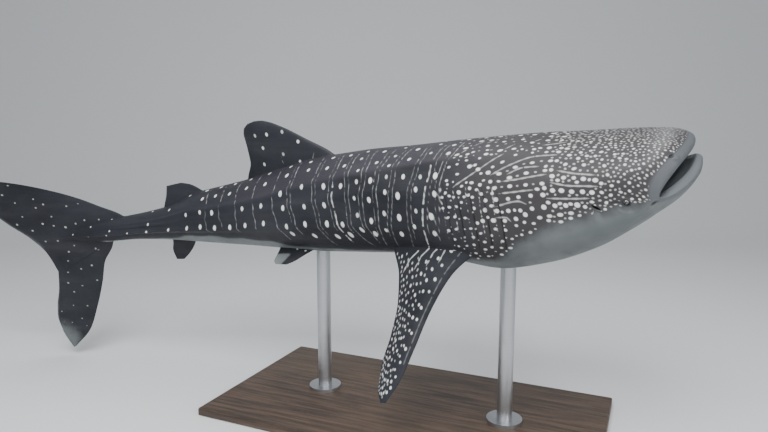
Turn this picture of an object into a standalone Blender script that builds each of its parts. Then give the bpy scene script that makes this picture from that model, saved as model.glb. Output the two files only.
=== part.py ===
"""Whale shark, a still life-size model, swimming above a plain display stand.

The shark is drawn straight first. A straight place is (t, y, z): t runs back from the
snout, y to the left and z up, all in percent of the total length. The spine then bends
that straight shark into its pose: head to +X, right side to -Y, metres, +Z up.
"""
import math

import bmesh
import bpy
import numpy as np
from mathutils import Vector

# Driving sizes in metres
LENGTH = 6.0
PERCENT = LENGTH / 100
GAP = 0.0003
MERGE = 0.00002
SPINE_HEIGHT = 1.70
SPINE_AT_STAND = 32.0

# The pose: turn, rise and bank of the spine in degrees, at stations behind the snout
POSE_STATIONS = (0, 20, 32, 45, 55, 65, 75, 100)
TURN = (-7, -7, -4, 0, 5, 10, 14, 17)
RISE = (8.5, 8.5, 8.5, 8.5, 8.5, 8.0, 8.0, 8.0)
BANK = (15, 12, 10, 10, 10, 10, 10, 10)

# The straight body at stations behind the snout, in percent of the length
STATIONS = (0, 3, 6, 10, 15, 20, 25, 30, 38, 44, 50, 56, 60, 64, 70, 76, 80, 88)
TOP = (2.95, 3.6, 4.0, 4.4, 5.0, 5.4, 5.7, 5.9, 6.3, 6.3, 5.6, 4.7, 4.3, 3.9, 2.3, 1.75, 1.6, 0.5)
BOTTOM = (1.5, 3.5, 5.4, 7.4, 8.8, 9.4, 8.4, 7.2, 6.7, 6.3, 5.5, 4.6, 4.0, 3.4, 2.5, 1.9, 1.8, 0.6)
HALF_WIDTH = (5.6, 6.3, 6.9, 7.5, 7.9, 7.8, 7.5, 7.2, 6.7, 6.2, 5.6, 4.8, 4.3, 3.7, 2.6, 1.8, 1.3, 0.35)
WAIST = (0.0, 0.6, 1.0, 1.5, 1.8, 1.9, 1.5, 1.1, 0.7, 0.5, 0.4, 0.3, 0.2, 0.1, 0.0, 0.0, 0.0, 0.0)

# How square the section is above and below its waist, 2 being an ellipse
SQUARE_STATIONS = (0, 6, 15, 30, 44, 88)
SQUARE_BACK = (2.5, 2.5, 2.3, 2.1, 2.0, 2.0)
SQUARE_BELLY = (2.2, 2.3, 2.4, 2.3, 2.1, 2.0)

# Ridges along each flank: their angle down from the back, and their height
RIDGE_ANGLES = (33, 60, 96)
RIDGE_STATIONS = (16, 26, 45, 62, 73, 80, 88)
RIDGE_HEIGHTS = (
    (0.0, 0.22, 0.32, 0.26, 0.12, 0.0, 0.0),
    (0.0, 0.16, 0.28, 0.26, 0.14, 0.0, 0.0),
    (0.0, 0.14, 0.26, 0.34, 0.75, 0.85, 0.1),
)
RIDGE_SPREAD = 7.0
RIDGE_DRIFT_STATIONS = (18, 25, 38, 53, 75)
RIDGE_DRIFT = (2, 5, 13, 26, 28)
RIDGE_DRIFT_SHARES = (1.0, 0.6, 0.0)

# Ring angles on one side, from the back down to the belly, with a point on each ridge
RING_STEPS = ((0, 32, 4), (32, 58, 4), (58, 96, 5), (96, 180, 9))

# Cuts between the lengths of the body
NECK = 16.0
GILL_END = 26.5
TRUNK_END = 41.0
LOIN_END = 59.5
TAIL_END = 88.0

# The mouth
MOUTH_HALF_WIDTH = 6.1
CORNER_SETBACK = 3.0
LOWER_LIP_AHEAD = 0.45
GAPE_ABOVE = 0.6
GAPE_BELOW = 0.25
LIP = 0.55
MOUTH_LEVEL = 1.1
CORNER_DROP = 2.15
UPPER_LIP_ARCH = 3.0
LOWER_LIP_ARCH = 1.5
NOSE_ROUND = 1.7
CHIN_ROUND = 1.92
CHEEK_ROUND = 3.0
JAW_HINGE = 12.0
JAW_CUT_WIDTH = 9.0
JAW_CUT_STEPS = 12

# Eyes, spiracles and nostrils: station and angle down from the back
EYE = (5.8, 90.5)
EYE_RADIUS = 0.28
LID_RADIUS = 0.42
SPIRACLE = (8.5, 89.5)
SPIRACLE_LENGTH = 0.75
NOSTRIL_ANGLE = 42
NOSTRIL_LENGTH = 0.7

# Gill slits
GILL_FIRST = 18.6
GILL_LAST = 24.6
GILL_COUNT = 5
GILL_TOP = 62
GILL_FOOT = 116
GILL_LEAN = 0.9
GILL_WIDTH = 0.1
GILL_DEPTH = 0.6
FLAP_RISE = 0.12

# The stand in metres
BASE_LONG = 2.9
BASE_WIDE = 1.5
BASE_THICK = 0.06
BASE_EDGE = 0.012
ROD_RADIUS = 0.055
ROD_FOOT_RADIUS = 0.13
ROD_FOOT_THICK = 0.025
ROD_PLACES = (-0.75, 0.75)

COLOURS = {
    "skin": ((0.06, 0.065, 0.08), 0.5, 0.0),
    "pale": ((0.55, 0.57, 0.58), 0.5, 0.0),
    "eye": ((0.01, 0.01, 0.012), 0.1, 0.0),
    "base": ((0.05, 0.05, 0.055), 0.4, 0.0),
    "rod": ((0.55, 0.56, 0.58), 0.3, 1.0),
}


def curve(stations, values, x):
    """A smooth curve through a few stations that never overshoots between them."""
    s = np.asarray(stations, float)
    v = np.asarray(values, float)
    step = np.diff(s)
    slope = np.diff(v) / step
    tangent = np.zeros_like(v)
    for i in range(1, len(v) - 1):
        if slope[i - 1] * slope[i] > 0:
            a = 2 * step[i] + step[i - 1]
            b = step[i] + 2 * step[i - 1]
            tangent[i] = (a + b) / (a / slope[i - 1] + b / slope[i])
    tangent[0] = slope[0]
    tangent[-1] = slope[-1]
    x = np.clip(x, s[0], s[-1])
    i = np.clip(np.searchsorted(s, x) - 1, 0, len(step) - 1)
    u = (x - s[i]) / step[i]
    a = v[i] * (1 + 2 * u) + tangent[i] * step[i] * u
    b = v[i + 1] * (3 - 2 * u) - tangent[i + 1] * step[i] * (1 - u)
    return a * (1 - u) ** 2 + b * u**2


def spine():
    """The bent spine: its places and its forward, left and up directions, each percent."""
    t = np.linspace(-5, 110, 1151)
    turn = np.radians(curve(POSE_STATIONS, TURN, t))
    rise = np.radians(curve(POSE_STATIONS, RISE, t))
    bank = np.radians(curve(POSE_STATIONS, BANK, t))
    flat = np.zeros_like(t)
    ahead = np.stack([np.cos(turn) * np.cos(rise), np.sin(turn) * np.cos(rise), np.sin(rise)], 1)
    level = np.stack([-np.sin(turn), np.cos(turn), flat], 1)
    over = np.cross(ahead, level)
    left = level * np.cos(bank)[:, None] + over * np.sin(bank)[:, None]
    up = np.cross(ahead, left)
    step = (t[1] - t[0]) * PERCENT
    middle = (ahead[1:] + ahead[:-1]) / 2
    place = np.concatenate([np.zeros((1, 3)), -np.cumsum(middle, 0) * step])
    start = [np.interp(SPINE_AT_STAND, t, place[:, k]) for k in range(3)]
    place += np.array([0, 0, SPINE_HEIGHT]) - np.array(start)
    return t, place, left, up


SPINE = spine()


def bend(t, y, z):
    """The place in the world of a straight place given in percent."""
    stations, place, left, up = SPINE
    across = [np.interp(t, stations, left[:, k]) for k in range(3)]
    above = [np.interp(t, stations, up[:, k]) for k in range(3)]
    centre = [np.interp(t, stations, place[:, k]) for k in range(3)]
    return Vector(c + (y * a + z * b) * PERCENT for c, a, b in zip(centre, across, above))


def power(value, exponent):
    """A signed power, which keeps the side."""
    return math.copysign(abs(value) ** exponent, value)


def ridge_height(t, angle):
    """How far the flank ridges stand out at this station and angle."""
    total = 0.0
    drift = curve(RIDGE_DRIFT_STATIONS, RIDGE_DRIFT, t)
    for centre, share, heights in zip(RIDGE_ANGLES, RIDGE_DRIFT_SHARES, RIDGE_HEIGHTS):
        away = (abs(angle) - centre - share * drift) / RIDGE_SPREAD
        total += curve(RIDGE_STATIONS, heights, t) * math.exp(-away * away)
    return total


def flap_height(t, angle):
    """The gill flaps rise toward each slit and fall away behind it."""
    if not GILL_TOP - 8 < abs(angle) < GILL_FOOT + 8:
        return 0.0
    side = (abs(angle) - (GILL_TOP + GILL_FOOT) / 2) / ((GILL_FOOT - GILL_TOP) / 2 + 8)
    pitch = (GILL_LAST - GILL_FIRST) / (GILL_COUNT - 1)
    turns = (t - GILL_FIRST) / pitch
    if not -1 < turns <= GILL_COUNT - 1:
        return 0.0
    return FLAP_RISE * (turns % 1.0 or 1.0) ** 2 * math.cos(side * math.pi / 2)


def section(t, angle, swell=0.0):
    """Across and up from the spine, on the skin at a station and an angle from the back."""
    top = curve(STATIONS, TOP, t)
    bottom = -curve(STATIONS, BOTTOM, t)
    waist = -curve(STATIONS, WAIST, t)
    wide = curve(STATIONS, HALF_WIDTH, t)
    turn = math.radians(angle)
    if abs(angle) <= 90:
        square = 2 / curve(SQUARE_STATIONS, SQUARE_BACK, t)
        high = top - waist
    else:
        square = 2 / curve(SQUARE_STATIONS, SQUARE_BELLY, t)
        high = waist - bottom
    y = wide * power(math.sin(turn), square)
    z = waist + high * power(math.cos(turn), square)
    out = ridge_height(t, angle) + flap_height(t, angle) + swell
    return y + out * math.sin(turn), z + out * math.cos(turn)


def ring_angles():
    """Angles round the body from the back over the left flank to the back again."""
    side = []
    for low, high, count in RING_STEPS:
        side += [low + (high - low) * k / count for k in range(count)]
    return side + [180] + [-a for a in reversed(side[1:])]


ANGLES = ring_angles()


def gill_lean(t, angle):
    """The slits bow forward at mid height; rings near them follow the same bow."""
    near = curve((NECK, GILL_FIRST, GILL_LAST, GILL_END), (0, 1, 1, 0), t)
    side = math.radians(abs(angle) - (GILL_TOP + GILL_FOOT) / 2)
    return -GILL_LEAN * near * max(0.0, math.cos(side * 1.6)) ** 2


def body_ring(t, swell=0.0):
    """One ring of the body behind the neck."""
    ring = []
    for angle in ANGLES:
        y, z = section(t, angle, swell)
        ring.append(bend(t + gill_lean(t, angle), y, z))
    return ring


def mouth_rim(angle):
    """The front crest of the lips: station, across and up."""
    turn = math.radians(angle)
    side = abs(math.sin(turn))
    back = CORNER_SETBACK * side**2.4
    arch = UPPER_LIP_ARCH
    if abs(angle) > 90:
        back += LOWER_LIP_AHEAD * math.cos(turn)
        arch = LOWER_LIP_ARCH
    level = MOUTH_LEVEL - CORNER_DROP * side**arch
    y = MOUTH_HALF_WIDTH * math.sin(turn)
    gape = GAPE_ABOVE if abs(angle) <= 90 else GAPE_BELOW
    z = level + (gape + LIP) * power(math.cos(turn), 0.8)
    return back, y, z, level


def head_point(angle, depth):
    """A place on the head: depth runs back from the lips outside, and below 0 inside."""
    back, y, z, level = mouth_rim(angle)
    turn = math.radians(angle)
    if depth >= 0:
        t = back + (NECK - back) * depth
        away = t - back
        side = math.sin(turn) ** 2
        round_off = NOSE_ROUND if abs(angle) <= 90 else CHIN_ROUND
        round_off += (CHEEK_ROUND - round_off) * side
        reach = min(away / round_off, 1.0)
        blend = (1 - (1 - reach) ** 2.2) ** (1 / 2.2)
        skin_y, skin_z = section(t, angle)
        return t, y + (skin_y - y) * blend, z + (skin_z - z) * blend
    open_y = (MOUTH_HALF_WIDTH - LIP) * math.sin(turn)
    gape = GAPE_ABOVE if abs(angle) <= 90 else GAPE_BELOW
    open_z = level + gape * power(math.cos(turn), 0.9)
    if depth >= -1:
        roll = -depth * math.pi / 2
        t = back + LIP * (1 - math.cos(roll))
        return t, y + (open_y - y) * math.sin(roll), z + (open_z - z) * math.sin(roll)
    inside = (-depth - 1) / 3
    t = back + LIP + (5.5 + (CORNER_SETBACK - back) * 0.8) * inside
    swell = math.sin(math.pi * min(inside * 0.9 + 0.1, 1.0)) * 0.6
    wide = 1 - 0.35 * inside**2
    return t, open_y * wide, open_z + swell * power(math.cos(turn), 1.0) * 1.2


def head_ring(depth):
    """One ring of the head."""
    return [bend(*head_point(angle, depth)) for angle in ANGLES]


HEAD_DEPTHS = (
    -4, -3.3, -2.6, -1.8, -1.3, -1, -0.66, -0.33, 0, 0.004, 0.015, 0.035, 0.065, 0.11,
    0.17, 0.24, 0.32, 0.41, 0.51, 0.62, 0.74, 0.87, 1,
)


def material(name):
    """A plain material with the colour, roughness and metal of its slot."""
    found = bpy.data.materials.get(name)
    if found:
        return found
    colour, rough, metal = COLOURS[name]
    made = bpy.data.materials.new(name)
    made.use_nodes = True
    shader = made.node_tree.nodes["Principled BSDF"]
    shader.inputs["Base Color"].default_value = (*colour, 1)
    shader.inputs["Roughness"].default_value = rough
    shader.inputs["Metallic"].default_value = metal
    made.diffuse_color = (*colour, 1)
    return made


def add_object(name, points, faces, slot):
    """A closed mesh object from points and faces, facing out."""
    mesh = bpy.data.meshes.new(name)
    mesh.from_pydata([tuple(p) for p in points], [], faces)
    work = bmesh.new()
    work.from_mesh(mesh)
    bmesh.ops.remove_doubles(work, verts=work.verts, dist=1e-6)
    bmesh.ops.recalc_face_normals(work, faces=work.faces)
    work.to_mesh(mesh)
    work.free()
    mesh.materials.append(material(slot))
    mesh.shade_smooth()
    mesh.set_sharp_from_angle(angle=math.radians(50))
    made = bpy.data.objects.new(name, mesh)
    bpy.context.scene.collection.objects.link(made)
    return made


def loft(name, rings, slot):
    """A closed skin over rings of equal count, split alike on both sides, with end fans."""
    count = len(rings[0])
    points = [p for ring in rings for p in ring]
    faces = []
    for r in range(len(rings) - 1):
        for k in range(count):
            a = r * count + k
            b = r * count + (k + 1) % count
            if k < count // 2:
                faces += [(a, b, b + count), (a, b + count, a + count)]
            else:
                faces += [(b, a + count, a), (b, b + count, a + count)]
    for r in (0, len(rings) - 1):
        centre = sum(rings[r], Vector()) / count
        points.append(centre)
        hub = len(points) - 1
        for k in range(count):
            faces.append((r * count + k, r * count + (k + 1) % count, hub))
    return add_object(name, points, faces, slot)


def islands(work):
    """The connected pieces of a bmesh, largest first by their number of faces."""
    left = set(work.faces)
    found = []
    while left:
        stack = [left.pop()]
        piece = []
        while stack:
            face = stack.pop()
            piece.append(face)
            for edge in face.edges:
                for other in edge.link_faces:
                    if other in left:
                        left.remove(other)
                        stack.append(other)
        found.append(piece)
    return sorted(found, key=volume_of, reverse=True)


def volume_of(piece):
    """The volume inside a closed piece, from the cones under its faces."""
    total = 0.0
    for face in piece:
        corners = [v.co for v in face.verts]
        for a, b in zip(corners[1:], corners[2:]):
            total += corners[0].dot(a.cross(b)) / 6
    return total


def cut(target, cutter, keep=1, solver="EXACT"):
    """Cut one object out of another and keep the largest pieces that are left."""
    change = target.modifiers.new("cut", "BOOLEAN")
    change.operation = "DIFFERENCE"
    change.solver = solver
    change.object = cutter
    apply_changes(target)
    work = bmesh.new()
    work.from_mesh(target.data)
    pieces = islands(work)
    others = []
    for piece in pieces[1:keep]:
        others.append(piece_mesh(piece))
    loose = [face for piece in pieces[1:] for face in piece]
    bmesh.ops.delete(work, geom=loose, context="FACES")
    work.to_mesh(target.data)
    work.free()
    target.data.update()
    return others


def piece_mesh(piece):
    """Points and faces of one piece of a bmesh."""
    corners = {}
    faces = []
    for face in piece:
        faces.append([corners.setdefault(v, len(corners)) for v in face.verts])
    return [v.co.copy() for v in corners], faces


def apply_changes(target):
    """Turn the object's modifiers into its mesh, with points that coincide merged."""
    graph = bpy.context.evaluated_depsgraph_get()
    mesh = bpy.data.meshes.new_from_object(target.evaluated_get(graph))
    target.modifiers.clear()
    work = bmesh.new()
    work.from_mesh(mesh)
    bmesh.ops.triangulate(work, faces=work.faces)
    bmesh.ops.remove_doubles(work, verts=work.verts, dist=MERGE)
    work.to_mesh(mesh)
    work.free()
    mesh.update()
    target.data = mesh


def join(target, extras):
    """Fuse closed pieces into an object with one union."""
    group = bpy.data.collections.new(target.name + "_extras")
    bpy.context.scene.collection.children.link(group)
    for extra in extras:
        bpy.context.scene.collection.objects.unlink(extra)
        group.objects.link(extra)
    change = target.modifiers.new("join", "BOOLEAN")
    change.operation = "UNION"
    change.solver = "EXACT"
    change.operand_type = "COLLECTION"
    change.collection = group
    apply_changes(target)
    for extra in extras:
        remove(extra)
    bpy.data.collections.remove(group)


def remove(unwanted):
    """Take a cutter or a fused piece out of the file."""
    bpy.data.objects.remove(unwanted, do_unlink=True)


def body_stations(start, end, spacing):
    """Evenly spaced stations from one cut to the next."""
    count = max(2, round((end - start) / spacing))
    return [start + (end - start) * k / count for k in range(count + 1)]


def length_of_body(name, start, end, spacing):
    """One length of the body between two cuts, short of each by half the gap."""
    half_gap = GAP / 2 / PERCENT
    return loft(
        name,
        [body_ring(t) for t in body_stations(start + half_gap, end - half_gap, spacing)],
        "skin",
    )


def build_trunk():
    """The three plain lengths of the body."""
    length_of_body("trunk", GILL_END, TRUNK_END, 1.8)
    length_of_body("rear_trunk", TRUNK_END, LOIN_END, 1.85)
    length_of_body("tail_stock", LOIN_END, TAIL_END, 1.6)


def body_cutter():
    """The whole body behind the neck, fuller by the gap, to cut the fins' roots with."""
    swell = GAP / PERCENT
    stations = [NECK - 4 + swell]
    stations += gill_stations()
    stations += body_stations(GILL_END, TRUNK_END, 1.8)[1:]
    stations += body_stations(TRUNK_END, LOIN_END, 1.85)[1:]
    stations += body_stations(LOIN_END, TAIL_END, 1.6)[1:]
    rings = [body_ring(t, swell) for t in stations]
    made = loft("body_cutter", rings, "skin")
    made.hide_render = True
    made.display_type = "WIRE"
    return made


def gill_stations():
    """Rings of the gill region, with one just before and one just behind each slit."""
    pitch = (GILL_LAST - GILL_FIRST) / (GILL_COUNT - 1)
    half_gap = GAP / 2 / PERCENT
    stations = [NECK + half_gap, NECK + 0.9]
    for k in range(GILL_COUNT):
        slit = GILL_FIRST + pitch * k
        stations += [slit - 0.001, slit + GILL_WIDTH]
    return stations + [GILL_LAST + 1.0, GILL_END - half_gap]


def gill_blade(slit, side):
    """A thin curved blade that cuts one gill slit."""
    rings = []
    steps = 8
    for k in range(steps + 1):
        angle = GILL_TOP + (GILL_FOOT - GILL_TOP) * k / steps
        ends = math.sin(math.pi * k / steps) ** 0.4
        width = GILL_WIDTH * (0.25 + 0.75 * ends)
        depth = GILL_DEPTH * (0.2 + 0.8 * ends)
        lean = gill_lean(slit, angle)
        ring = []
        for along, out in ((0, 0.5), (width, 0.5), (width - depth * 0.5, -depth), (-depth * 0.5, -depth)):
            y, z = section(slit, side * angle, out)
            ring.append(bend(slit + lean + along, y, z))
        rings.append(ring)
    return loft("blade", rings, "skin")


def build_gill_region():
    """The gill region with its slits and raised flaps."""
    made = loft("gill_region", [body_ring(t) for t in gill_stations()], "skin")
    pitch = (GILL_LAST - GILL_FIRST) / (GILL_COUNT - 1)
    for k in range(GILL_COUNT):
        for side in (-1, 1):
            blade = gill_blade(GILL_FIRST + pitch * k, side)
            cut(made, blade, solver="MANIFOLD")
            remove(blade)


def build_head():
    """The head with its mouth, eye pits, spiracles and nostrils, and the lower jaw."""
    head = loft("head", [head_ring(depth) for depth in HEAD_DEPTHS], "skin")
    sheet = jaw_cutter()
    pieces = cut(head, sheet, keep=2)
    remove(sheet)
    for points, faces in pieces:
        add_object("lower_jaw", points, faces, "pale")
    join(head, [extra for side in (-1, 1) for extra in (lid(side), barbel(side))])
    for side, name in ((-1, "eye_right"), (1, "eye_left")):
        build_eye(head, name, side)
        build_spiracle(head, side)
        build_nostril(head, side)


def jaw_cutter():
    """A thin arched sheet that runs back between the lips, then down, to part the lower jaw."""
    corner = MOUTH_LEVEL - CORNER_DROP
    route = (
        (-1.5, corner, 1.0, 0.0),
        (3.6, corner, 1.0, 0.2),
        (8.0, -3.6, 0.5, 0.7),
        (JAW_HINGE, -9.5, 0.0, 0.8),
    )
    half = GAP / 2 / PERCENT
    rings = []
    for t, z, arch, tilt in route:
        rise = half * math.sqrt(1 - tilt * tilt)
        lower = []
        upper = []
        for k in range(JAW_CUT_STEPS + 1):
            y = JAW_CUT_WIDTH * (2 * k / JAW_CUT_STEPS - 1)
            side = min(abs(y) / MOUTH_HALF_WIDTH, 1.0)
            crown = CORNER_DROP * (1 - side**UPPER_LIP_ARCH) * arch
            lower.append(bend(t - half * tilt, y, z + crown - rise))
            upper.append(bend(t + half * tilt, y, z + crown + rise))
        rings.append(lower + upper[::-1])
    made = loft_strip("jaw_cutter", rings)
    made.hide_render = True
    made.display_type = "WIRE"
    return made


def loft_strip(name, rings):
    """A closed thin sheet between rings whose second half runs back over the first."""
    count = len(rings[0])
    points = [p for ring in rings for p in ring]
    faces = []
    for r in range(len(rings) - 1):
        for k in range(count):
            a = r * count + k
            b = r * count + (k + 1) % count
            if k < count // 2:
                faces += [(a, b, b + count), (a, b + count, a + count)]
            else:
                faces += [(b, a + count, a), (b, b + count, a + count)]
    for r in (0, len(rings) - 1):
        for k in range(count // 2 - 1):
            low = r * count + k
            high = r * count + count - 1 - k
            faces.append((low, low + 1, high - 1, high))
    return add_object(name, points, faces, "skin")


def skin_frame(t, angle):
    """A place on the head's skin with its outward, backward and downward directions."""
    depth = (t - mouth_rim(angle)[0]) / (NECK - mouth_rim(angle)[0])
    here = bend(*head_point(angle, depth))
    back = (bend(*head_point(angle, depth + 0.02)) - here).normalized()
    down = (bend(*head_point(angle + math.copysign(2, angle), depth)) - here).normalized()
    out = back.cross(down).normalized()
    centre = bend(t, 0, 0)
    if out.dot(here - centre) < 0:
        out = -out
    return here, out, back, out.cross(back)


def ball(name, centre, axes, radii, slot, rings=8, count=12):
    """A closed ellipsoid from three directions and three radii."""
    points = []
    faces = []
    for r in range(1, rings):
        tip = math.pi * r / rings
        for k in range(count):
            turn = 2 * math.pi * k / count
            local = (
                math.cos(tip),
                math.sin(tip) * math.cos(turn),
                math.sin(tip) * math.sin(turn),
            )
            points.append(centre + sum((a * r_ * c for a, r_, c in zip(axes, radii, local)), Vector()))
    for r in range(rings - 2):
        for k in range(count):
            a = r * count + k
            b = r * count + (k + 1) % count
            faces.append((a, b, b + count, a + count))
    points += [centre + axes[0] * radii[0], centre - axes[0] * radii[0]]
    last = (rings - 2) * count
    for k in range(count):
        faces.append((k, (k + 1) % count, len(points) - 2))
        faces.append((last + k, last + (k + 1) % count, len(points) - 1))
    return add_object(name, points, faces, slot)


def lid(side):
    """The raised lid round an eye."""
    here, out, back, down = skin_frame(EYE[0], side * EYE[1])
    reach = LID_RADIUS * PERCENT
    radii = (reach * 0.6, reach * 1.25, reach)
    return ball("lid", here - out * reach * 0.25, (out, back, down), radii, "skin")


def build_eye(head, name, side):
    """An eyeball in its pit."""
    here, out, back, down = skin_frame(EYE[0], side * EYE[1])
    radius = EYE_RADIUS * PERCENT
    centre = here - out * radius * 0.35
    pit = ball("pit", centre, (out, back, down), [radius + GAP] * 3, "eye", 8, 14)
    cut(head, pit)
    remove(pit)
    ball(name, centre, (out, back, down), [radius] * 3, "eye", 8, 14)


def build_spiracle(head, side):
    """The slanting spiracle behind the eye."""
    here, out, back, down = skin_frame(SPIRACLE[0], side * SPIRACLE[1])
    long = SPIRACLE_LENGTH / 2 * PERCENT
    slant = (back * 0.9 - down * 0.44).normalized()
    pit = ball("pit", here, (out, slant, out.cross(slant)), (long, long, long * 0.45), "eye", 6, 10)
    cut(head, pit)
    remove(pit)


def barbel(side):
    """The short barbel beside a nostril."""
    angle = side * NOSTRIL_ANGLE
    here, out, back, down = skin_frame(mouth_rim(angle)[0] + 0.35, angle)
    long = NOSTRIL_LENGTH / 2 * PERCENT
    centre = here - back * long * 0.5 + down * long * 0.9
    radii = (long * 0.6, long * 0.75, long * 0.5)
    return ball("barbel", centre, (out, back, down), radii, "skin", 6, 10)


def build_nostril(head, side):
    """A nostril slit above the upper lip."""
    angle = side * NOSTRIL_ANGLE
    here, out, back, down = skin_frame(mouth_rim(angle)[0] + 0.35, angle)
    long = NOSTRIL_LENGTH / 2 * PERCENT
    pit = ball("pit", here, (out, down, back), (long * 0.7, long, long * 0.35), "skin", 6, 10)
    cut(head, pit)
    remove(pit)


def blade_profile(c):
    """Half thickness of a fin along its chord, 1 at the thickest place."""
    if c <= 0 or c >= 1:
        return 0.0
    return (c / 0.3) ** 0.5 * (1.3 - c) if c < 0.3 else 1.0 - ((c - 0.3) / 0.7) ** 1.5 * 0.97


CHORD_STEPS = (0.0, 0.04, 0.13, 0.3, 0.55, 0.8, 1.0)


def fin(name, edges, thick, slot="skin"):
    """A fin from its front and rear edges: a list of (front, rear, face) and half thicknesses."""
    rings = []
    for (front, rear, face), half in zip(edges, thick):
        upper = []
        lower = []
        for c in CHORD_STEPS:
            middle = front + (rear - front) * c
            out = face * half * blade_profile(c) * PERCENT
            upper.append(middle + out)
            lower.append(middle - out)
        rings.append(upper + lower[-2:0:-1])
    return loft_triangles(name, rings, slot)


def loft_triangles(name, rings, slot):
    """A closed skin over fin sections, split alike on both faces."""
    count = len(rings[0])
    half = count // 2
    points = [p for ring in rings for p in ring]
    faces = []
    for r in range(len(rings) - 1):
        for k in range(count):
            a = r * count + k
            b = r * count + (k + 1) % count
            if k < half:
                faces += [(a, b, b + count), (a, b + count, a + count)]
            else:
                faces += [(b, a, a + count), (b, a + count, b + count)]
    for r in (0, len(rings) - 1):
        for k in range(half):
            p = r * count + k
            q = r * count + k + 1
            p2 = r * count + (count - k) % count
            q2 = r * count + (count - k - 1) % count
            faces.append([i for i in dict.fromkeys((p, q, q2, p2))])
    return add_object(name, points, faces, slot)


def spread(front, rear, count, sharp=1.0):
    """Matching places along a front edge and a rear edge, root to tip, straight places."""
    places = []
    for k in range(count):
        v = (k / (count - 1)) ** sharp
        places.append((along(front, v), along(rear, v)))
    return places


def along(knots, v):
    """A place part of the way along a smooth edge through straight places."""
    knots = np.asarray(knots, float)
    steps = np.linalg.norm(np.diff(knots, axis=0), axis=1)
    run = np.concatenate([[0], np.cumsum(steps)])
    return [curve(run, knots[:, k], v * run[-1]) for k in range(knots.shape[1])]


def middle_fin(name, front, rear, thick_root, thick_tip, count=9):
    """A fin on the midline, from its edges as (station, up)."""
    edges = []
    thick = []
    for k, ((t0, z0), (t1, z1)) in enumerate(spread(front, rear, count)):
        v = k / (count - 1)
        a = bend(t0, 0, z0)
        b = bend(t1, 0, z1)
        face = (bend((t0 + t1) / 2, 1, (z0 + z1) / 2) - bend((t0 + t1) / 2, 0, (z0 + z1) / 2)).normalized()
        edges.append((a, b, face))
        thick.append(thick_root + (thick_tip - thick_root) * v**0.7)
    return fin(name, edges, thick)


def build_dorsals_and_anal(cutter):
    """The two fins on the back and the one under the tail."""
    first = middle_fin(
        "first_dorsal_fin",
        ((39.6, 4.0), (41.8, 6.7), (45.0, 8.9), (48.2, 11.0), (50.4, 12.1), (52.0, 12.4)),
        ((56.4, 2.4), (55.4, 5.0), (54.4, 7.2), (54.4, 9.2), (54.4, 11.0), (53.6, 12.2)),
        0.95,
        0.14,
        10,
    )
    second = middle_fin(
        "second_dorsal_fin",
        ((61.6, 2.4), (63.4, 4.3), (64.8, 5.2), (66.2, 5.6)),
        ((70.6, 1.0), (69.8, 2.6), (69.0, 4.2), (68.6, 5.4)),
        0.5,
        0.1,
        7,
    )
    anal = middle_fin(
        "anal_fin",
        ((65.6, -1.4), (66.4, -3.4), (67.8, -5.0), (69.0, -5.9)),
        ((70.6, -1.0), (70.0, -2.8), (70.4, -4.4), (70.2, -5.8)),
        0.42,
        0.1,
        7,
    )
    for made in (first, second, anal):
        cut(made, cutter)


def build_caudal(cutter):
    """The tail fin in two lobes that meet on a slanting cut."""
    half = GAP / 2 / PERCENT
    upper = middle_fin(
        "caudal_fin_upper",
        ((79.2, -1.2 + half), (76.4, 1.1), (80.6, 4.0), (85.0, 6.2), (93.4, 9.1), (99.6, 10.5)),
        ((90.2, -5.7 + half), (91.1, -2.6), (93.1, 0.2), (96.0, 2.9), (98.8, 6.4), (100.0, 10.0)),
        0.62,
        0.08,
        14,
    )
    lower = middle_fin(
        "caudal_fin_lower",
        ((79.2, -1.2 - half), (79.0, -2.4), (82.2, -4.8), (83.4, -8.0), (85.8, -12.4), (88.2, -16.0), (91.6, -18.7)),
        ((90.2, -5.7 - half), (91.1, -8.4), (92.4, -11.4), (93.0, -13.8), (92.9, -15.8), (92.5, -17.4), (92.0, -18.8)),
        0.55,
        0.08,
        11,
    )
    for made in (upper, lower):
        cut(made, cutter)


def paired_fin(name, side, root, aim, edges_front, edges_rear, thick_root, thick_tip, count, bow=0.0):
    """A fin at the side: its root, the way it points, and its edges as (back, out)."""
    t0, y0, z0 = root
    down = math.radians(aim)
    span = (side * math.cos(down), -math.sin(down))
    edges = []
    thick = []
    for k, ((a0, b0), (a1, b1)) in enumerate(spread(edges_front, edges_rear, count)):
        v = k / (count - 1)
        ends = []
        for a, b in ((a0, b0), (a1, b1)):
            lift = bow * (max(b, 0) / 16) ** 2
            y = side * y0 + span[0] * b + side * math.sin(down) * lift
            z = z0 + span[1] * b + math.cos(down) * lift
            ends.append(bend(t0 + a, y, z))
        here = bend(t0, side * y0, z0)
        face = (bend(t0, side * y0 + side * math.sin(down), z0 + math.cos(down)) - here).normalized()
        edges.append((ends[0], ends[1], face))
        thick.append(thick_root + (thick_tip - thick_root) * v**0.7)
    return fin(name, edges, thick)


PECTORAL_FRONT = ((-3.0, -2.6), (-1.2, 0.0), (1.8, 2.8), (4.2, 6.8), (5.9, 11.0), (7.4, 14.6), (9.0, 17.0))
PECTORAL_REAR = ((10.2, -2.6), (9.4, 0.0), (8.7, 2.6), (8.6, 5.6), (9.2, 9.6), (10.1, 13.2), (10.2, 15.6), (9.7, 17.0))
PELVIC_FRONT = ((-2.6, -1.2), (-1.6, 0.0), (0.6, 1.2), (2.2, 2.0), (3.2, 2.3))
PELVIC_REAR = ((4.6, -1.2), (4.7, 0.0), (5.0, 0.8), (5.3, 1.6), (5.0, 2.1))


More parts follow.
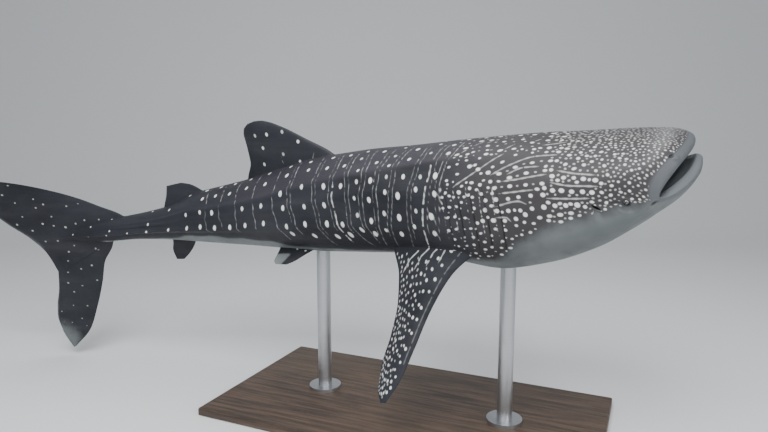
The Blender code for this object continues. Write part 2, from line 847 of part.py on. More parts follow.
def build_paired_fins(cutter):
    """The pectoral and pelvic fins; the left pectoral is held nearly level."""
    for side, name, aim in ((-1, "pectoral_fin_right", 58), (1, "pectoral_fin_left", 30)):
        made = paired_fin(
            name, side, (23.2, 6.0, -5.6), aim, PECTORAL_FRONT, PECTORAL_REAR, 0.85, 0.12, 12, 1.0
        )
        cut(made, cutter)
    for side, name in ((-1, "pelvic_fin_right"), (1, "pelvic_fin_left")):
        made = paired_fin(
            name, side, (46.6, 3.2, -4.8), 48, PELVIC_FRONT, PELVIC_REAR, 0.36, 0.09, 7
        )
        cut(made, cutter)


def build_stand(cutter):
    """A flat base and two rods up to the belly."""
    bpy.ops.mesh.primitive_cube_add(size=1, location=(0, 0, BASE_THICK / 2))
    base = bpy.context.object
    base.name = "stand_base"
    base.scale = (BASE_LONG, BASE_WIDE, BASE_THICK)
    bpy.ops.object.transform_apply(location=True, scale=True)
    soften = base.modifiers.new("edge", "BEVEL")
    soften.width = BASE_EDGE
    soften.segments = 2
    base.data.materials.append(material("base"))
    for x, name in zip(ROD_PLACES, ("stand_rod_rear", "stand_rod_front")):
        rod = turned_rod(name, x, 0.0)
        cut(rod, cutter)


def turned_rod(name, x, y):
    """A rod with a round foot, tall enough to end inside the body."""
    floor = BASE_THICK + GAP
    profile = (
        (ROD_FOOT_RADIUS, floor),
        (ROD_FOOT_RADIUS, floor + ROD_FOOT_THICK),
        (ROD_RADIUS, floor + ROD_FOOT_THICK),
        (ROD_RADIUS, SPINE_HEIGHT),
    )
    rings = []
    for radius, z in profile:
        ring = []
        for k in range(32):
            turn = 2 * math.pi * k / 32
            ring.append(Vector((x + radius * math.cos(turn), y + radius * math.sin(turn), z)))
        rings.append(ring)
    return loft(name, rings, "rod")


def build():
    """Build every node, then take the cutters away."""
    for old in list(bpy.data.objects):
        bpy.data.objects.remove(old, do_unlink=True)
    build_head()
    build_gill_region()
    build_trunk()
    cutter = body_cutter()
    build_dorsals_and_anal(cutter)
    build_caudal(cutter)
    build_paired_fins(cutter)
    build_stand(cutter)
    remove(cutter)


build()
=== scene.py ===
"""Whale shark: the looks of a still, life-size display model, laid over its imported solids.

The skin is drawn straight first, as the solids are: a straight place is (t, y, z), with t
back from the snout, y to the left and z up, all in percent of the length. The spine then
bends it into the pose, in metres. A girth is a way round a ring from the back's midline.
"""
import math

import bmesh
import bpy
import numpy as np
from mathutils import Matrix, Vector


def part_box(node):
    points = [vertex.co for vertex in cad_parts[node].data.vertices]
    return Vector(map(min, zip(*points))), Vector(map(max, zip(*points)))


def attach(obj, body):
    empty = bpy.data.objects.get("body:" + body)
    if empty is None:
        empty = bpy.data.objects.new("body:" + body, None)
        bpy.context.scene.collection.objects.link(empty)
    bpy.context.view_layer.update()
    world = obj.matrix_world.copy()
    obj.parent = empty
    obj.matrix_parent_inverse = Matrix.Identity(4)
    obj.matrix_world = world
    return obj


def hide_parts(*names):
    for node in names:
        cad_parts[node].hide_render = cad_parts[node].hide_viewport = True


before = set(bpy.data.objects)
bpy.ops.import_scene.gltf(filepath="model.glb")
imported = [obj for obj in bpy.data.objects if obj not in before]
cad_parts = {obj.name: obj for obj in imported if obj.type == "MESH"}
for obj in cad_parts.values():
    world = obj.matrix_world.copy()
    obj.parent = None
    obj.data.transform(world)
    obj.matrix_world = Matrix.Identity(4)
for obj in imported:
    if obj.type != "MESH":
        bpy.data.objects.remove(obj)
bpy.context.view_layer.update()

# The body's driving sizes, the same as in the solids
LENGTH = 6.0
PERCENT = LENGTH / 100
SPINE_HEIGHT = 1.70
SPINE_AT_STAND = 32.0
POSE_STATIONS = (0, 20, 32, 45, 55, 65, 75, 100)
TURN = (-7, -7, -4, 0, 5, 10, 14, 17)
RISE = (8.5, 8.5, 8.5, 8.5, 8.5, 8.0, 8.0, 8.0)
BANK = (15, 12, 10, 10, 10, 10, 10, 10)
STATIONS = (0, 3, 6, 10, 15, 20, 25, 30, 38, 44, 50, 56, 60, 64, 70, 76, 80, 88)
TOP = (2.95, 3.6, 4.0, 4.4, 5.0, 5.4, 5.7, 5.9, 6.3, 6.3, 5.6, 4.7, 4.3, 3.9, 2.3, 1.75, 1.6, 0.5)
BOTTOM = (1.5, 3.5, 5.4, 7.4, 8.8, 9.4, 8.4, 7.2, 6.7, 6.3, 5.5, 4.6, 4.0, 3.4, 2.5, 1.9, 1.8, 0.6)
HALF_WIDTH = (5.6, 6.3, 6.9, 7.5, 7.9, 7.8, 7.5, 7.2, 6.7, 6.2, 5.6, 4.8, 4.3, 3.7, 2.6, 1.8, 1.3, 0.35)
WAIST = (0.0, 0.6, 1.0, 1.5, 1.8, 1.9, 1.5, 1.1, 0.7, 0.5, 0.4, 0.3, 0.2, 0.1, 0.0, 0.0, 0.0, 0.0)
SQUARE_STATIONS = (0, 6, 15, 30, 44, 88)
SQUARE_BACK = (2.5, 2.5, 2.3, 2.1, 2.0, 2.0)
SQUARE_BELLY = (2.2, 2.3, 2.4, 2.3, 2.1, 2.0)
RIDGE_ANGLES = (33, 60, 96)
RIDGE_STATIONS = (16, 26, 45, 62, 73, 80, 88)
RIDGE_HEIGHTS = (
    (0.0, 0.22, 0.32, 0.26, 0.12, 0.0, 0.0),
    (0.0, 0.16, 0.28, 0.26, 0.14, 0.0, 0.0),
    (0.0, 0.14, 0.26, 0.34, 0.75, 0.85, 0.1),
)
RIDGE_SPREAD = 7.0
RIDGE_DRIFT_STATIONS = (18, 25, 38, 53, 75)
RIDGE_DRIFT = (2, 5, 13, 26, 28)
RIDGE_DRIFT_SHARES = (1.0, 0.6, 0.0)
NECK = 16.0
GILL_END = 26.5
TAIL_END = 88.0

# The mouth, as in the solids, and the low ridge of its tooth band
MOUTH_HALF_WIDTH = 6.1
CORNER_SETBACK = 3.0
LOWER_LIP_AHEAD = 0.45
GAPE_ABOVE = 0.6
GAPE_BELOW = 0.25
LIP = 0.55
MOUTH_LEVEL = 1.1
CORNER_DROP = 2.15
UPPER_LIP_ARCH = 3.0
LOWER_LIP_ARCH = 1.5
NOSE_ROUND = 1.7
CHIN_ROUND = 1.92
CHEEK_ROUND = 3.0
THROAT_LENGTH = 5.5
TOOTH_BAND = 0.12

# Gill slits
GILL_FIRST = 18.6
GILL_LAST = 24.6
GILL_COUNT = 5
GILL_PITCH = (GILL_LAST - GILL_FIRST) / (GILL_COUNT - 1)
SLITS = [GILL_FIRST + GILL_PITCH * k for k in range(GILL_COUNT)]
GILL_TOP = 62
GILL_FOOT = 116
GILL_MIDDLE = (GILL_TOP + GILL_FOOT) / 2
GILL_LEAN = 0.9
GILL_WIDTH = 0.12
FLAP_RISE = 0.12
SLIT_DEPTH = 0.26
FLAP_TUCK = 0.35

# Eyes and spiracles: station and angle down from the back; jaw corners: station and girth
EYE = (5.8, 90.5)
EYE_RADIUS = 0.28
CORNEA = 0.05
SPIRACLE = (8.5, 89.5)
JAW_CORNER = (3.55, 9.45)
NOSTRIL_ANGLE = 42

# Hollows of the face, by distance from their middles: how deep, from where to where; their
# rim's height, place and width; how dark their painted shade is, from where to where
HOLLOWS = {
    "eye": ((0.2, 1.05 * EYE_RADIUS, 0.6 * EYE_RADIUS), (0.07, 1.35 * EYE_RADIUS, 0.1), (1.0, 0.5, 0.27)),
    "fold": ((0.05, 1.2, 0.3), (0, 1, 1), (0.8, 1.3, 0.4)),
    "spiracle": ((0.3, 1.05, 0.35), (0.05, 1.45, 0.35), (1.0, 1.25, 0.7)),
    "corner": ((0.12, 1.2, 0.2), (0.05, 1.9, 0.6), (0.9, 1.3, 0.5)),
    "nostril": ((0.16, 1.3, 0.3), (0, 1, 1), (0.8, 1.3, 0.6)),
}

# Fins on the midline: edges as (station, up), half thickness at root and tip, and mesh size
CAUDAL_LAP = 0.3
MIDDLE_FINS = {
    "first_dorsal": (
        ((39.6, 4.0), (41.8, 6.7), (45.0, 8.9), (48.2, 11.0), (50.3, 12.05), (51.4, 12.35), (52.3, 12.4)),
        ((56.4, 2.4), (55.4, 5.0), (54.4, 7.2), (54.35, 9.2), (54.4, 10.7), (54.15, 11.6), (53.4, 12.2)),
        0.95, 0.14, 120, 80,
    ),
    "second_dorsal": (
        ((61.6, 2.4), (63.4, 4.3), (64.8, 5.2), (66.2, 5.6)),
        ((70.6, 1.0), (69.8, 2.6), (69.0, 4.2), (68.6, 5.4)),
        0.5, 0.1, 60, 50,
    ),
    "anal": (
        ((65.6, -1.4), (66.4, -3.4), (67.8, -5.0), (69.0, -5.9)),
        ((70.6, -1.0), (70.0, -2.8), (70.4, -4.4), (70.2, -5.8)),
        0.42, 0.1, 60, 50,
    ),
    "caudal_upper": (
        ((79.2, -1.2 - CAUDAL_LAP), (76.4, 1.1), (80.6, 4.0), (85.0, 6.2), (93.4, 9.1), (99.6, 10.5)),
        ((90.2, -5.7 - CAUDAL_LAP), (91.1, -2.6), (93.1, 0.2), (96.0, 2.9), (98.8, 6.4), (100.0, 10.0)),
        0.62, 0.08, 160, 90,
    ),
    "caudal_lower": (
        ((79.2, -1.2 + CAUDAL_LAP), (80.0, -2.6), (82.0, -4.9), (83.4, -8.0), (85.8, -12.4), (88.2, -16.0),
         (91.6, -18.7)),
        ((90.2, -5.7 + CAUDAL_LAP), (91.1, -8.4), (92.4, -11.4), (93.0, -13.8), (92.9, -15.8), (92.5, -17.4),
         (92.0, -18.8)),
        0.55, 0.08, 140, 80,
    ),
}

# Paired fins: root, edges as (back, out), half thickness, bow, mesh size; and the way they point
PECTORAL_FRONT = ((-3.0, -2.6), (-1.2, 0.0), (1.8, 2.8), (4.2, 6.8), (5.9, 11.0), (7.4, 14.6), (9.0, 17.0))
PECTORAL_REAR = (
    (10.2, -2.6), (9.4, 0.0), (8.7, 2.6), (8.6, 5.6), (9.2, 9.6), (10.1, 13.2), (10.2, 15.6), (9.7, 17.0)
)
PECTORAL = ((23.2, 6.0, -5.6), PECTORAL_FRONT, PECTORAL_REAR, 0.85, 0.12, 1.0, 220, 110)
PELVIC = (
    (46.6, 3.2, -4.8),
    ((-2.6, -1.2), (-1.6, 0.0), (0.6, 1.2), (2.2, 2.0), (3.2, 2.3)),
    ((4.6, -1.2), (4.7, 0.0), (5.0, 0.8), (5.3, 1.6), (5.0, 2.1)),
    0.36, 0.09, 0.0, 50, 40,
)
PAIRED_FINS = {
    "pectoral_right": (-1, 58, PECTORAL), "pectoral_left": (1, 30, PECTORAL),
    "pelvic_right": (-1, 48, PELVIC), "pelvic_left": (1, 48, PELVIC),
}

# The number of each fin's faces, the body's being 0
FIN_PIECES = {
    "first_dorsal": 1, "second_dorsal": 2, "anal": 3, "caudal_upper": 4, "caudal_lower": 4,
    "pectoral_right": 5, "pectoral_left": 6, "pelvic_right": 7, "pelvic_left": 8,
}
# mouth carries painted shade, deep in the mouth and in the hollows of the face
MARK_NAMES = ("ink", "tone", "pale", "back", "head", "mouth", "lips", "snout")

# How finely the skin is drawn
POINTS_AROUND = 600
SPACING = 0.08
FIN_DETAIL = 1.0

# The chart that the body's marks are stamped on
CHART_CELL = 0.04
CHART_LONG = 90.0
CHART_HALF = 26.0
MARKS_APART = 0.04
FADE_OUT = 1.3

# The edge between the marked flank and the pale underside: its girth and its softness
EDGE_STATIONS = (1.5, 2.0, 3.0, 4.5, 6.3, 8, 10, 12, 14, 16.4, 20, 26, 32, 38, 42, 47, 52, 59, 66, 72, 88)
EDGE_GIRTH = (4.6, 6.2, 8.2, 9.2, 9.8, 10.6, 11.1, 11.9, 12.7, 14.2, 16.8, 17.2, 16.8, 16.4, 15.6, 14.4, 11.8,
              9.3, 7.4, 6.4, 3.8)
EDGE_WIDTH = ((0, 12, 20, 27, 40, 88), (2.1, 2.2, 1.6, 1.2, 0.7, 0.5))

# Girth of the upper ridge: the back above it is painted lighter, a painted top light, than the flank below
RIDGE_GIRTH_STATIONS = (12, 20, 25, 30, 36, 42, 50, 60, 75)
RIDGE_GIRTH = (3.6, 4.3, 4.9, 5.4, 5.8, 6.0, 5.8, 4.6, 3.0)

# Width of the plain band behind the lips, in front and added at the sides
PLAIN_BAND = 0.62
PLAIN_BAND_SIDE = 0.24

# Columns of spots down the flank: their distance, their rows' girths and their spots' half sizes
COLUMN_PITCH = ((25, 32, 37, 42, 50, 56, 61, 66, 88), (2.3, 2.15, 2.3, 3.4, 3.5, 2.6, 2.4, 3.6, 3.0))
COLUMN_TAPER = ((25, 60, 68, 78, 88), (1.0, 0.95, 0.68, 0.5, 0.35))
COLUMN_LEAN = ((24, 30, 37), (0.19, 0.16, 0.0))
ROWS_OF_LARGE = (1.6, 3.8, 6.6, 8.9, 11.5, 13.4)
ROWS_OF_SMALL = (1.0, 3.0, 4.9, 6.6, 8.4, 10.6, 12.6)
ROWS_AT_TAIL = (1.2, 4.1, 7.9, 11.2)
SPOT_LONG = 0.27
SPOT_TALL = 0.4

# Long stripes above the gills: places (station, girth) that a smooth line runs through
STRIPES = (
    ((12.0, 4.8), (14.2, 5.0), (16.5, 5.9), (18.7, 7.1)), ((17.4, 4.4), (19.8, 6.3), (22.9, 8.4)),
    ((13.6, 6.4), (15.2, 6.5), (16.9, 7.2)), ((12.8, 7.3), (15.7, 7.8), (17.4, 8.0)),
    ((14.2, 8.8), (17.8, 9.15)), ((15.0, 10.25), (15.8, 9.95), (18.2, 10.5)),
    ((16.8, 12.2), (17.3, 11.7), (18.4, 11.7)), ((11.4, 2.4), (12.8, 2.9), (13.8, 3.1)),
    ((8.2, 7.2), (9.9, 7.1), (11.8, 6.8)), ((8.1, 8.3), (10.6, 8.35), (12.5, 8.1)),
    ((8.9, 9.4), (10.3, 9.5), (12.9, 9.6)),
)
# Rows of spots between the stripes: places on the row, spot distance and the spots' half sizes
STRIPE_ROWS = (
    ((12.5, 5.7), (14.2, 5.85), (16.1, 6.4), (17.7, 7.1), 0.86, 0.27, 0.17),
    ((13.0, 6.85), (14.8, 7.15), (16.6, 7.5), 0.84, 0.27, 0.18),
    ((13.3, 8.15), (15.2, 8.35), (18.2, 8.6), 0.78, 0.25, 0.18),
    ((13.2, 9.3), (16.4, 9.65), (19.3, 9.9), 1.2, 0.24, 0.21),
    ((14.4, 10.7), (16.9, 11.05), (19.5, 10.9), 1.15, 0.23, 0.22),
    ((15.2, 11.4), (17.0, 12.0), (19.9, 12.0), 1.3, 0.22, 0.23),
    ((8.3, 7.75), (12.2, 7.45), 0.95, 0.25, 0.2), ((8.6, 8.85), (12.3, 8.85), 1.05, 0.26, 0.22),
    ((10.1, 10.15), (13.3, 10.5), 0.95, 0.25, 0.25), ((10.8, 11.0), (13.9, 11.6), 1.2, 0.28, 0.2),
    ((18.6, 7.9), (22.2, 8.9), 1.3, 0.24, 0.22), ((19.0, 6.9), (21.2, 5.9), 1.5, 0.26, 0.22),
)

# Spots on the first dorsal fin (station, up, tone) and the thin lines that climb it
DORSAL_SPOTS = (
    (50.7, 10.4, 0.9), (52.6, 10.5, 0.5), (46.2, 8.8, 1.0), (48.3, 10.4, 0.5), (51.8, 8.7, 0.8),
    (48.8, 7.5, 0.45), (46.4, 6.2, 1.0), (52.2, 6.5, 0.6), (42.9, 5.9, 1.0), (47.4, 3.9, 1.0),
    (43.9, 4.0, 1.0), (51.4, 3.8, 0.8),
)
DORSAL_LINES = (((49.2, 7.2), (49.0, 5.2), (49.7, 3.0)), ((44.1, 7.2), (44.8, 5.4), (45.9, 3.5)))
# Rows of spots down the pectoral fins: share of the chord, spot distance, half sizes and tone
PECTORAL_ROWS = (
    (0.26, 1.75, 0.2, 0.25, 1.0), (0.39, 1.55, 0.17, 0.24, 0.95), (0.49, 0.95, 0.1, 0.19, 0.7),
    (0.57, 1.4, 0.15, 0.26, 0.95), (0.66, 0.85, 0.09, 0.2, 0.7), (0.74, 1.0, 0.12, 0.24, 0.9),
    (0.82, 0.75, 0.08, 0.2, 0.7), (0.89, 0.8, 0.1, 0.2, 0.85), (0.95, 0.65, 0.07, 0.17, 0.7),
)
PECTORAL_SPAN = 19.6

# The skin's colours
DARK_SKIN = ((0.0115, 0.0125, 0.0165), (0.023, 0.0245, 0.031))
# painted top light: the back above the upper ridge is painted lighter, as if lit from above
BACK_TOP_LIGHT = (0.034, 0.032, 0.041)
HEAD_SKIN = (0.05, 0.0455, 0.0475)
STREAKS = (0.075, 0.075, 0.086)
# the real pale underside, greyed and darkened with painted shade from below
PALE_UNDERSIDE_IN_SHADE = ((0.115, 0.13, 0.133), (0.2, 0.217, 0.219))
UNDERSIDE_CLOUDS = (0.09, 0.1, 0.104)
SNOUT = (0.16, 0.16, 0.168)
LIPS = (0.1, 0.11, 0.12)
MARKS = ((0.86, 0.86, 0.84), (0.66, 0.67, 0.66))
# painted shade for the throat and the hollows of the face
HOLLOW_SHADE = ((0.012, 0.014, 0.017), (0.03, 0.032, 0.036))

# The camera: where it stands and its turn, tilt and lens
CAMERA_PLACE = (1.664, -4.220, 2.173)
CAMERA_TURN = math.radians(24.0)
CAMERA_TILT = math.radians(8.0)
CAMERA_LENS = 28.6

# Lamps: place, aim, size and strength; and the floor, which sweeps up into the backdrop
LAMPS = {
    "key": ((0.6, -4.6, 6.6), (-0.6, 0, 1.5), 4.0, 620),
    "top": ((-0.5, 0.6, 7.0), (-0.5, 0, 1.6), 5.0, 160),
    "front": ((6.0, -3.0, 3.6), (0.8, 0, 1.6), 2.5, 170),
}
SKY = ((0.86, 0.9, 0.94, 1), 0.55)
FLOOR_HALF = 40
FLOOR_FRONT = -30.0
FLOOR_BACK = 7.0
SWEEP = 5
BACKDROP_TOP = 16.0

FLESH = (
    "head", "lower_jaw", "gill_region", "trunk", "rear_trunk", "tail_stock", "caudal_fin_upper",
    "caudal_fin_lower", "first_dorsal_fin", "second_dorsal_fin", "anal_fin", "pectoral_fin_right",
    "pectoral_fin_left", "pelvic_fin_right", "pelvic_fin_left",
)


def curve(stations, values, x):
    """A smooth curve through a few stations that never overshoots between them."""
    s = np.asarray(stations, float)
    v = np.asarray(values, float)
    step = np.diff(s)
    slope = np.diff(v) / step
    tangent = np.zeros_like(v)
    for i in range(1, len(v) - 1):
        if slope[i - 1] * slope[i] > 0:
            a = 2 * step[i] + step[i - 1]
            b = step[i] + 2 * step[i - 1]
            tangent[i] = (a + b) / (a / slope[i - 1] + b / slope[i])
    tangent[0] = slope[0]
    tangent[-1] = slope[-1]
    x = np.clip(x, s[0], s[-1])
    i = np.clip(np.searchsorted(s, x) - 1, 0, len(step) - 1)
    u = (x - s[i]) / step[i]
    a = v[i] * (1 + 2 * u) + tangent[i] * step[i] * u
    b = v[i + 1] * (3 - 2 * u) - tangent[i + 1] * step[i] * (1 - u)
    return a * (1 - u) ** 2 + b * u**2


def smooth(low, high, x):
    """0 below low, 1 above high and a soft step between."""
    u = np.clip((x - low) / (high - low), 0, 1)
    return u * u * (3 - 2 * u)


def spine():
    """Stations along the bent spine with its places and its left and up directions."""
    t = np.linspace(-5, 110, 1151)
    turn, rise, bank = (np.radians(curve(POSE_STATIONS, bend_by, t)) for bend_by in (TURN, RISE, BANK))
    ahead = np.stack([np.cos(turn) * np.cos(rise), np.sin(turn) * np.cos(rise), np.sin(rise)], 1)
    level = np.stack([-np.sin(turn), np.cos(turn), np.zeros_like(t)], 1)
    over = np.cross(ahead, level)
    left = level * np.cos(bank)[:, None] + over * np.sin(bank)[:, None]
    step = (t[1] - t[0]) * PERCENT
    middle = (ahead[1:] + ahead[:-1]) / 2
    place = np.concatenate([np.zeros((1, 3)), -np.cumsum(middle, 0) * step])
    start = [np.interp(SPINE_AT_STAND, t, place[:, k]) for k in range(3)]
    place += np.array([0, 0, SPINE_HEIGHT]) - np.array(start)
    return t, place, left, np.cross(ahead, left)


SPINE = spine()


def bend(t, y, z):
    """World places of straight places given in percent, as arrays."""
    place, left, up = (
        np.stack([np.interp(t, SPINE[0], rows[:, k]) for k in range(3)], -1) for rows in SPINE[1:]
    )
    return place + (left * np.asarray(y)[..., None] + up * np.asarray(z)[..., None]) * PERCENT


def power(value, exponent):
    """A signed power, which keeps the side."""
    return np.sign(value) * np.abs(value) ** exponent


def ridge_height(t, angle):
    """How far the flank ridges stand out."""
    total = 0.0
    drift = curve(RIDGE_DRIFT_STATIONS, RIDGE_DRIFT, t)
    for centre, share, heights in zip(RIDGE_ANGLES, RIDGE_DRIFT_SHARES, RIDGE_HEIGHTS):
        away = (np.abs(angle) - centre - share * drift) / RIDGE_SPREAD
        total = total + curve(RIDGE_STATIONS, heights, t) * np.exp(-away * away)
    return total


def flap_height(t, angle):
    """The gill flaps rise toward each slit."""
    side = (np.abs(angle) - GILL_MIDDLE) / ((GILL_FOOT - GILL_TOP) / 2 + 8)
    turns = (t - GILL_FIRST) / GILL_PITCH
    part = np.mod(turns, 1.0)
    part = np.where((part == 0) & (turns > -1), 1.0, part)
    here = (turns > -1) & (turns <= GILL_COUNT - 1) & (np.abs(side) < 1)
    return np.where(here, FLAP_RISE * part**2 * np.cos(np.clip(side, -1, 1) * math.pi / 2), 0.0)


def section(t, angle, swell=0.0):
    """Across and up from the spine, on the skin at a station and an angle from the back."""
    top, bottom, waist = (curve(STATIONS, sizes, t) for sizes in (TOP, BOTTOM, WAIST))
    turn = np.radians(angle)
    above = np.abs(angle) <= 90
    squares = (curve(SQUARE_STATIONS, sizes, t) for sizes in (SQUARE_BACK, SQUARE_BELLY))
    square = 2 / np.where(above, *squares)
    y = curve(STATIONS, HALF_WIDTH, t) * power(np.sin(turn), square)
    z = np.where(above, top + waist, bottom - waist) * power(np.cos(turn), square) - waist
    out = ridge_height(t, angle) + flap_height(t, angle) + swell
    return y + out * np.sin(turn), z + out * np.cos(turn)


def gill_lean(t, angle):
    """The slits bow forward at mid height; rings near them follow the same bow."""
    near = curve((NECK, GILL_FIRST, GILL_LAST, GILL_END), (0, 1, 1, 0), t)
    side = np.radians(np.abs(angle) - GILL_MIDDLE)
    return -GILL_LEAN * near * np.maximum(0.0, np.cos(np.clip(side * 1.6, -1.6, 1.6))) ** 2


def mouth_rim(angle):
    """The front crest of the lips: station, across and up; and the mouth's level and gape."""
    turn = np.radians(angle)
    side = np.abs(np.sin(turn))
    below = np.abs(angle) > 90
    back = CORNER_SETBACK * side**2.4 + np.where(below, LOWER_LIP_AHEAD * np.cos(turn), 0.0)
    level = MOUTH_LEVEL - CORNER_DROP * side ** np.where(below, LOWER_LIP_ARCH, UPPER_LIP_ARCH)
    gape = np.where(below, GAPE_BELOW, GAPE_ABOVE)
    z = level + (gape + LIP) * power(np.cos(turn), 0.8)
    return back, MOUTH_HALF_WIDTH * np.sin(turn), z, level, gape


def head_point(angle, depth):
    """A place on the head: depth runs back from the lips outside, and below 0 inside."""
    back, y, z, level, gape = mouth_rim(angle)
    turn = np.radians(angle)
    if depth >= 0:
        t = back + (NECK - back) * depth
        round_off = np.where(np.abs(angle) > 90, CHIN_ROUND, NOSE_ROUND)
        round_off = round_off + (CHEEK_ROUND - round_off) * np.sin(turn) ** 2
        reach = np.minimum((t - back) / round_off, 1.0)
        blend = (1 - (1 - reach) ** 2.2) ** (1 / 2.2)
        skin_y, skin_z = section(t, angle)
        return t, y + (skin_y - y) * blend, z + (skin_z - z) * blend
    open_y = (MOUTH_HALF_WIDTH - LIP) * np.sin(turn)
    open_z = level + gape * power(np.cos(turn), 0.9)
    if depth >= -1:
        roll = -depth * math.pi / 2
        t = back + LIP * (1 - math.cos(roll))
        return t, y + (open_y - y) * math.sin(roll), z + (open_z - z) * math.sin(roll)
    inside = (-depth - 1) / 3
    t = back + LIP + (THROAT_LENGTH + (CORNER_SETBACK - back) * 0.8) * inside
    swell = math.sin(math.pi * min(inside * 0.9 + 0.1, 1.0)) * 0.6
    wide = 1 - 0.35 * inside**2
    band = TOOTH_BAND * math.exp(-(((inside - 0.13) / 0.05) ** 2))
    return t, open_y * wide - band * np.sin(turn), open_z + (1.2 * swell - band) * np.cos(turn)


def even_angles(count):
    """Angles round a ring that lie evenly along the skin, closer at the height of the eyes."""
    fine = np.linspace(0, 180, 2001)
    y, z = section(np.full_like(fine, 17.0), fine)
    run = np.concatenate([[0], np.cumsum(np.hypot(np.diff(y), np.diff(z)))])
    run += 1.6 * 0.5 * (1 + np.tanh((fine - EYE[1]) / 3.5))
    side = np.interp(np.linspace(0, run[-1], count // 2 + 1), run, fine)
    return np.concatenate([side, -side[-2:0:-1]])


ANGLES = even_angles(POINTS_AROUND)


def slit_depth(t, angle):
    """How far the skin dives in at each gill slit, just behind the flap's edge."""
    run = np.clip((np.abs(angle) - GILL_TOP) / (GILL_FOOT - GILL_TOP), 0, 1)
    total = 0.0
    for slit in SLITS:
        away = t - slit
        total = total + smooth(0.0, 0.02, away) * (1 - smooth(0.4 * GILL_WIDTH, GILL_WIDTH + 0.16, away))
    return SLIT_DEPTH * total * np.sin(np.pi * run) ** 0.6 * (0.75 + 0.25 * np.sin(angle * 0.55 + 2 * t))


def body_stations():
    """Stations behind the neck, with close rings at each gill slit."""
    count = round((TAIL_END - NECK) / (SPACING * 2.0))
    places = list(NECK + (TAIL_END - NECK) * np.linspace(0, 1, count)[1:])
    places = [t for t in places if not any(-0.05 < t - slit < GILL_WIDTH + 0.2 for slit in SLITS)]
    for slit in SLITS:
        places += [slit + d for d in (-0.04, -0.001, 0.007, 0.014, 0.022, 0.06, 0.1, GILL_WIDTH)]
        places += [slit + GILL_WIDTH + d for d in (0.03, 0.06, 0.1, 0.14, 0.19)]
    return sorted(places)


def body_grid():
    """Straight places of the whole body from the throat, over the lips, to the tail.

    With them comes how far each ring lies back from the crest of the lips, below 0 inside.
    """
    depths = list(np.linspace(-4, -1, 26)[:-1]) + list(np.linspace(-1, 0, 16)[:-1])
    places = np.linspace(0, 1, 400)
    crowd = places + 0.1 * np.tanh((places - 0.23) / 0.05) + 0.07 * np.tanh((places - 0.43) / 0.05)
    crowd = crowd + 0.25 * (1 - (1 - places) ** 4)
    count = round(1.3 * round(NECK / SPACING))
    depths += list(np.interp(np.linspace(crowd[0], crowd[-1], count), crowd, places))
    rim = mouth_rim(ANGLES)[0]
    rows = []
    behind = []
    for depth in depths:
        rows.append(np.stack(head_point(ANGLES, depth)))
        behind.append(np.maximum(rows[-1][0] - rim, 0) if depth >= 0 else np.full_like(rim, depth))
    for t in body_stations():
        ring = np.full_like(ANGLES, t)
        dive = slit_depth(ring, ANGLES)
        bowed = ring + gill_lean(ring, ANGLES) - FLAP_TUCK * dive
        rows.append(np.stack([bowed, *section(ring, ANGLES, -dive)]))
        behind.append(ring)
    return np.array(rows).transpose(1, 0, 2), np.array(behind)


def outward(straight):
    """The way out of the skin at each straight place."""
    along_body = np.gradient(straight, axis=1)
    round_body = np.roll(straight, -1, 2) - np.roll(straight, 1, 2)
    normal = np.cross(along_body, round_body, axis=0)
    normal /= np.maximum(np.linalg.norm(normal, axis=0), 1e-9)
    out = np.sum(normal[1:] * straight[1:] * [[[1]], [[0.2]]], axis=(0, 2))
    return normal * np.sign(out)[None, :, None]


def turned(u, v, lean):
    """Two distances, seen along axes that lean by some degrees."""
    c, s = math.cos(math.radians(lean)), math.sin(math.radians(lean))
    return u * c + v * s, v * c - u * s


def shape_face(straight, behind):
    """Sink and raise the skin for lids, spiracles, nostrils and folds; gives the painted shade in each
    hollow.
    """
    t = straight[0]
    g = np.abs(girth_of(straight))

    def oval(station, girth, long=1, high=1, lean=0):
        """Distance from a place on the skin, 1 on the edge of an oval."""
        u, v = turned(t - station, g - girth, lean)
        return np.hypot(u / long, v / high)

    def ridge(away, middle, width):
        """A soft ridge at a distance."""
        return np.exp(-(((away - middle) / width) ** 2))

    eye_girth = girth_at(*EYE) - 0.12
    nostril_away = np.abs(ANGLES) - NOSTRIL_ANGLE
    away = {
        "eye": oval(EYE[0], eye_girth),
        "fold": oval(EYE[0] + 0.85, eye_girth + 0.05, 0.62, 0.12, 8),
        "spiracle": oval(SPIRACLE[0], girth_at(*SPIRACLE) - 0.1, 0.44, 0.15, -28),
        "corner": oval(*JAW_CORNER, 0.5, 0.13, 62),
        "nostril": np.hypot(nostril_away / 2.6, (behind - 0.62) / 0.16),
    }
    nostril_lobe = np.hypot(nostril_away / 3.4, (behind - 0.28) / 0.22)
    rise = 0.02 * ridge(away["eye"], 1.2, 0.1) - 0.05 * ridge(away["eye"], 0.85, 0.28)
    rise = rise + 0.14 * smooth(1.4, 0.0, nostril_lobe)
    dark = np.zeros_like(t)
    for name, ((depth, *sunk), (rim, *at_rim), (shade, *shaded)) in HOLLOWS.items():
        rise = rise - depth * smooth(*sunk, away[name]) + rim * ridge(away[name], *at_rim)
        dark = np.maximum(dark, shade * smooth(*shaded, away[name]))
    on_head = (behind >= 0) & (t < NECK)
    straight += outward(straight) * np.where(on_head, rise, 0)
    return np.where(on_head, dark, 0)


def girth_of(straight):
    """Girth of each straight place, below 0 on the right side."""
    t, y, z = straight
    half = POINTS_AROUND // 2
    ring = np.hypot(np.diff(y, axis=1, append=y[:, :1]), np.diff(z, axis=1, append=z[:, :1]))
    left = np.cumsum(ring[:, :half], 1)
    right = np.cumsum(ring[:, :half - 1:-1], 1)
    return np.concatenate([np.zeros((len(t), 1)), left, -right[:, -2::-1]], 1)


def put_in_scene(name, data):
    """A new object in the scene."""
    made = bpy.data.objects.new(name, data)
    bpy.context.scene.collection.objects.link(made)
    return made


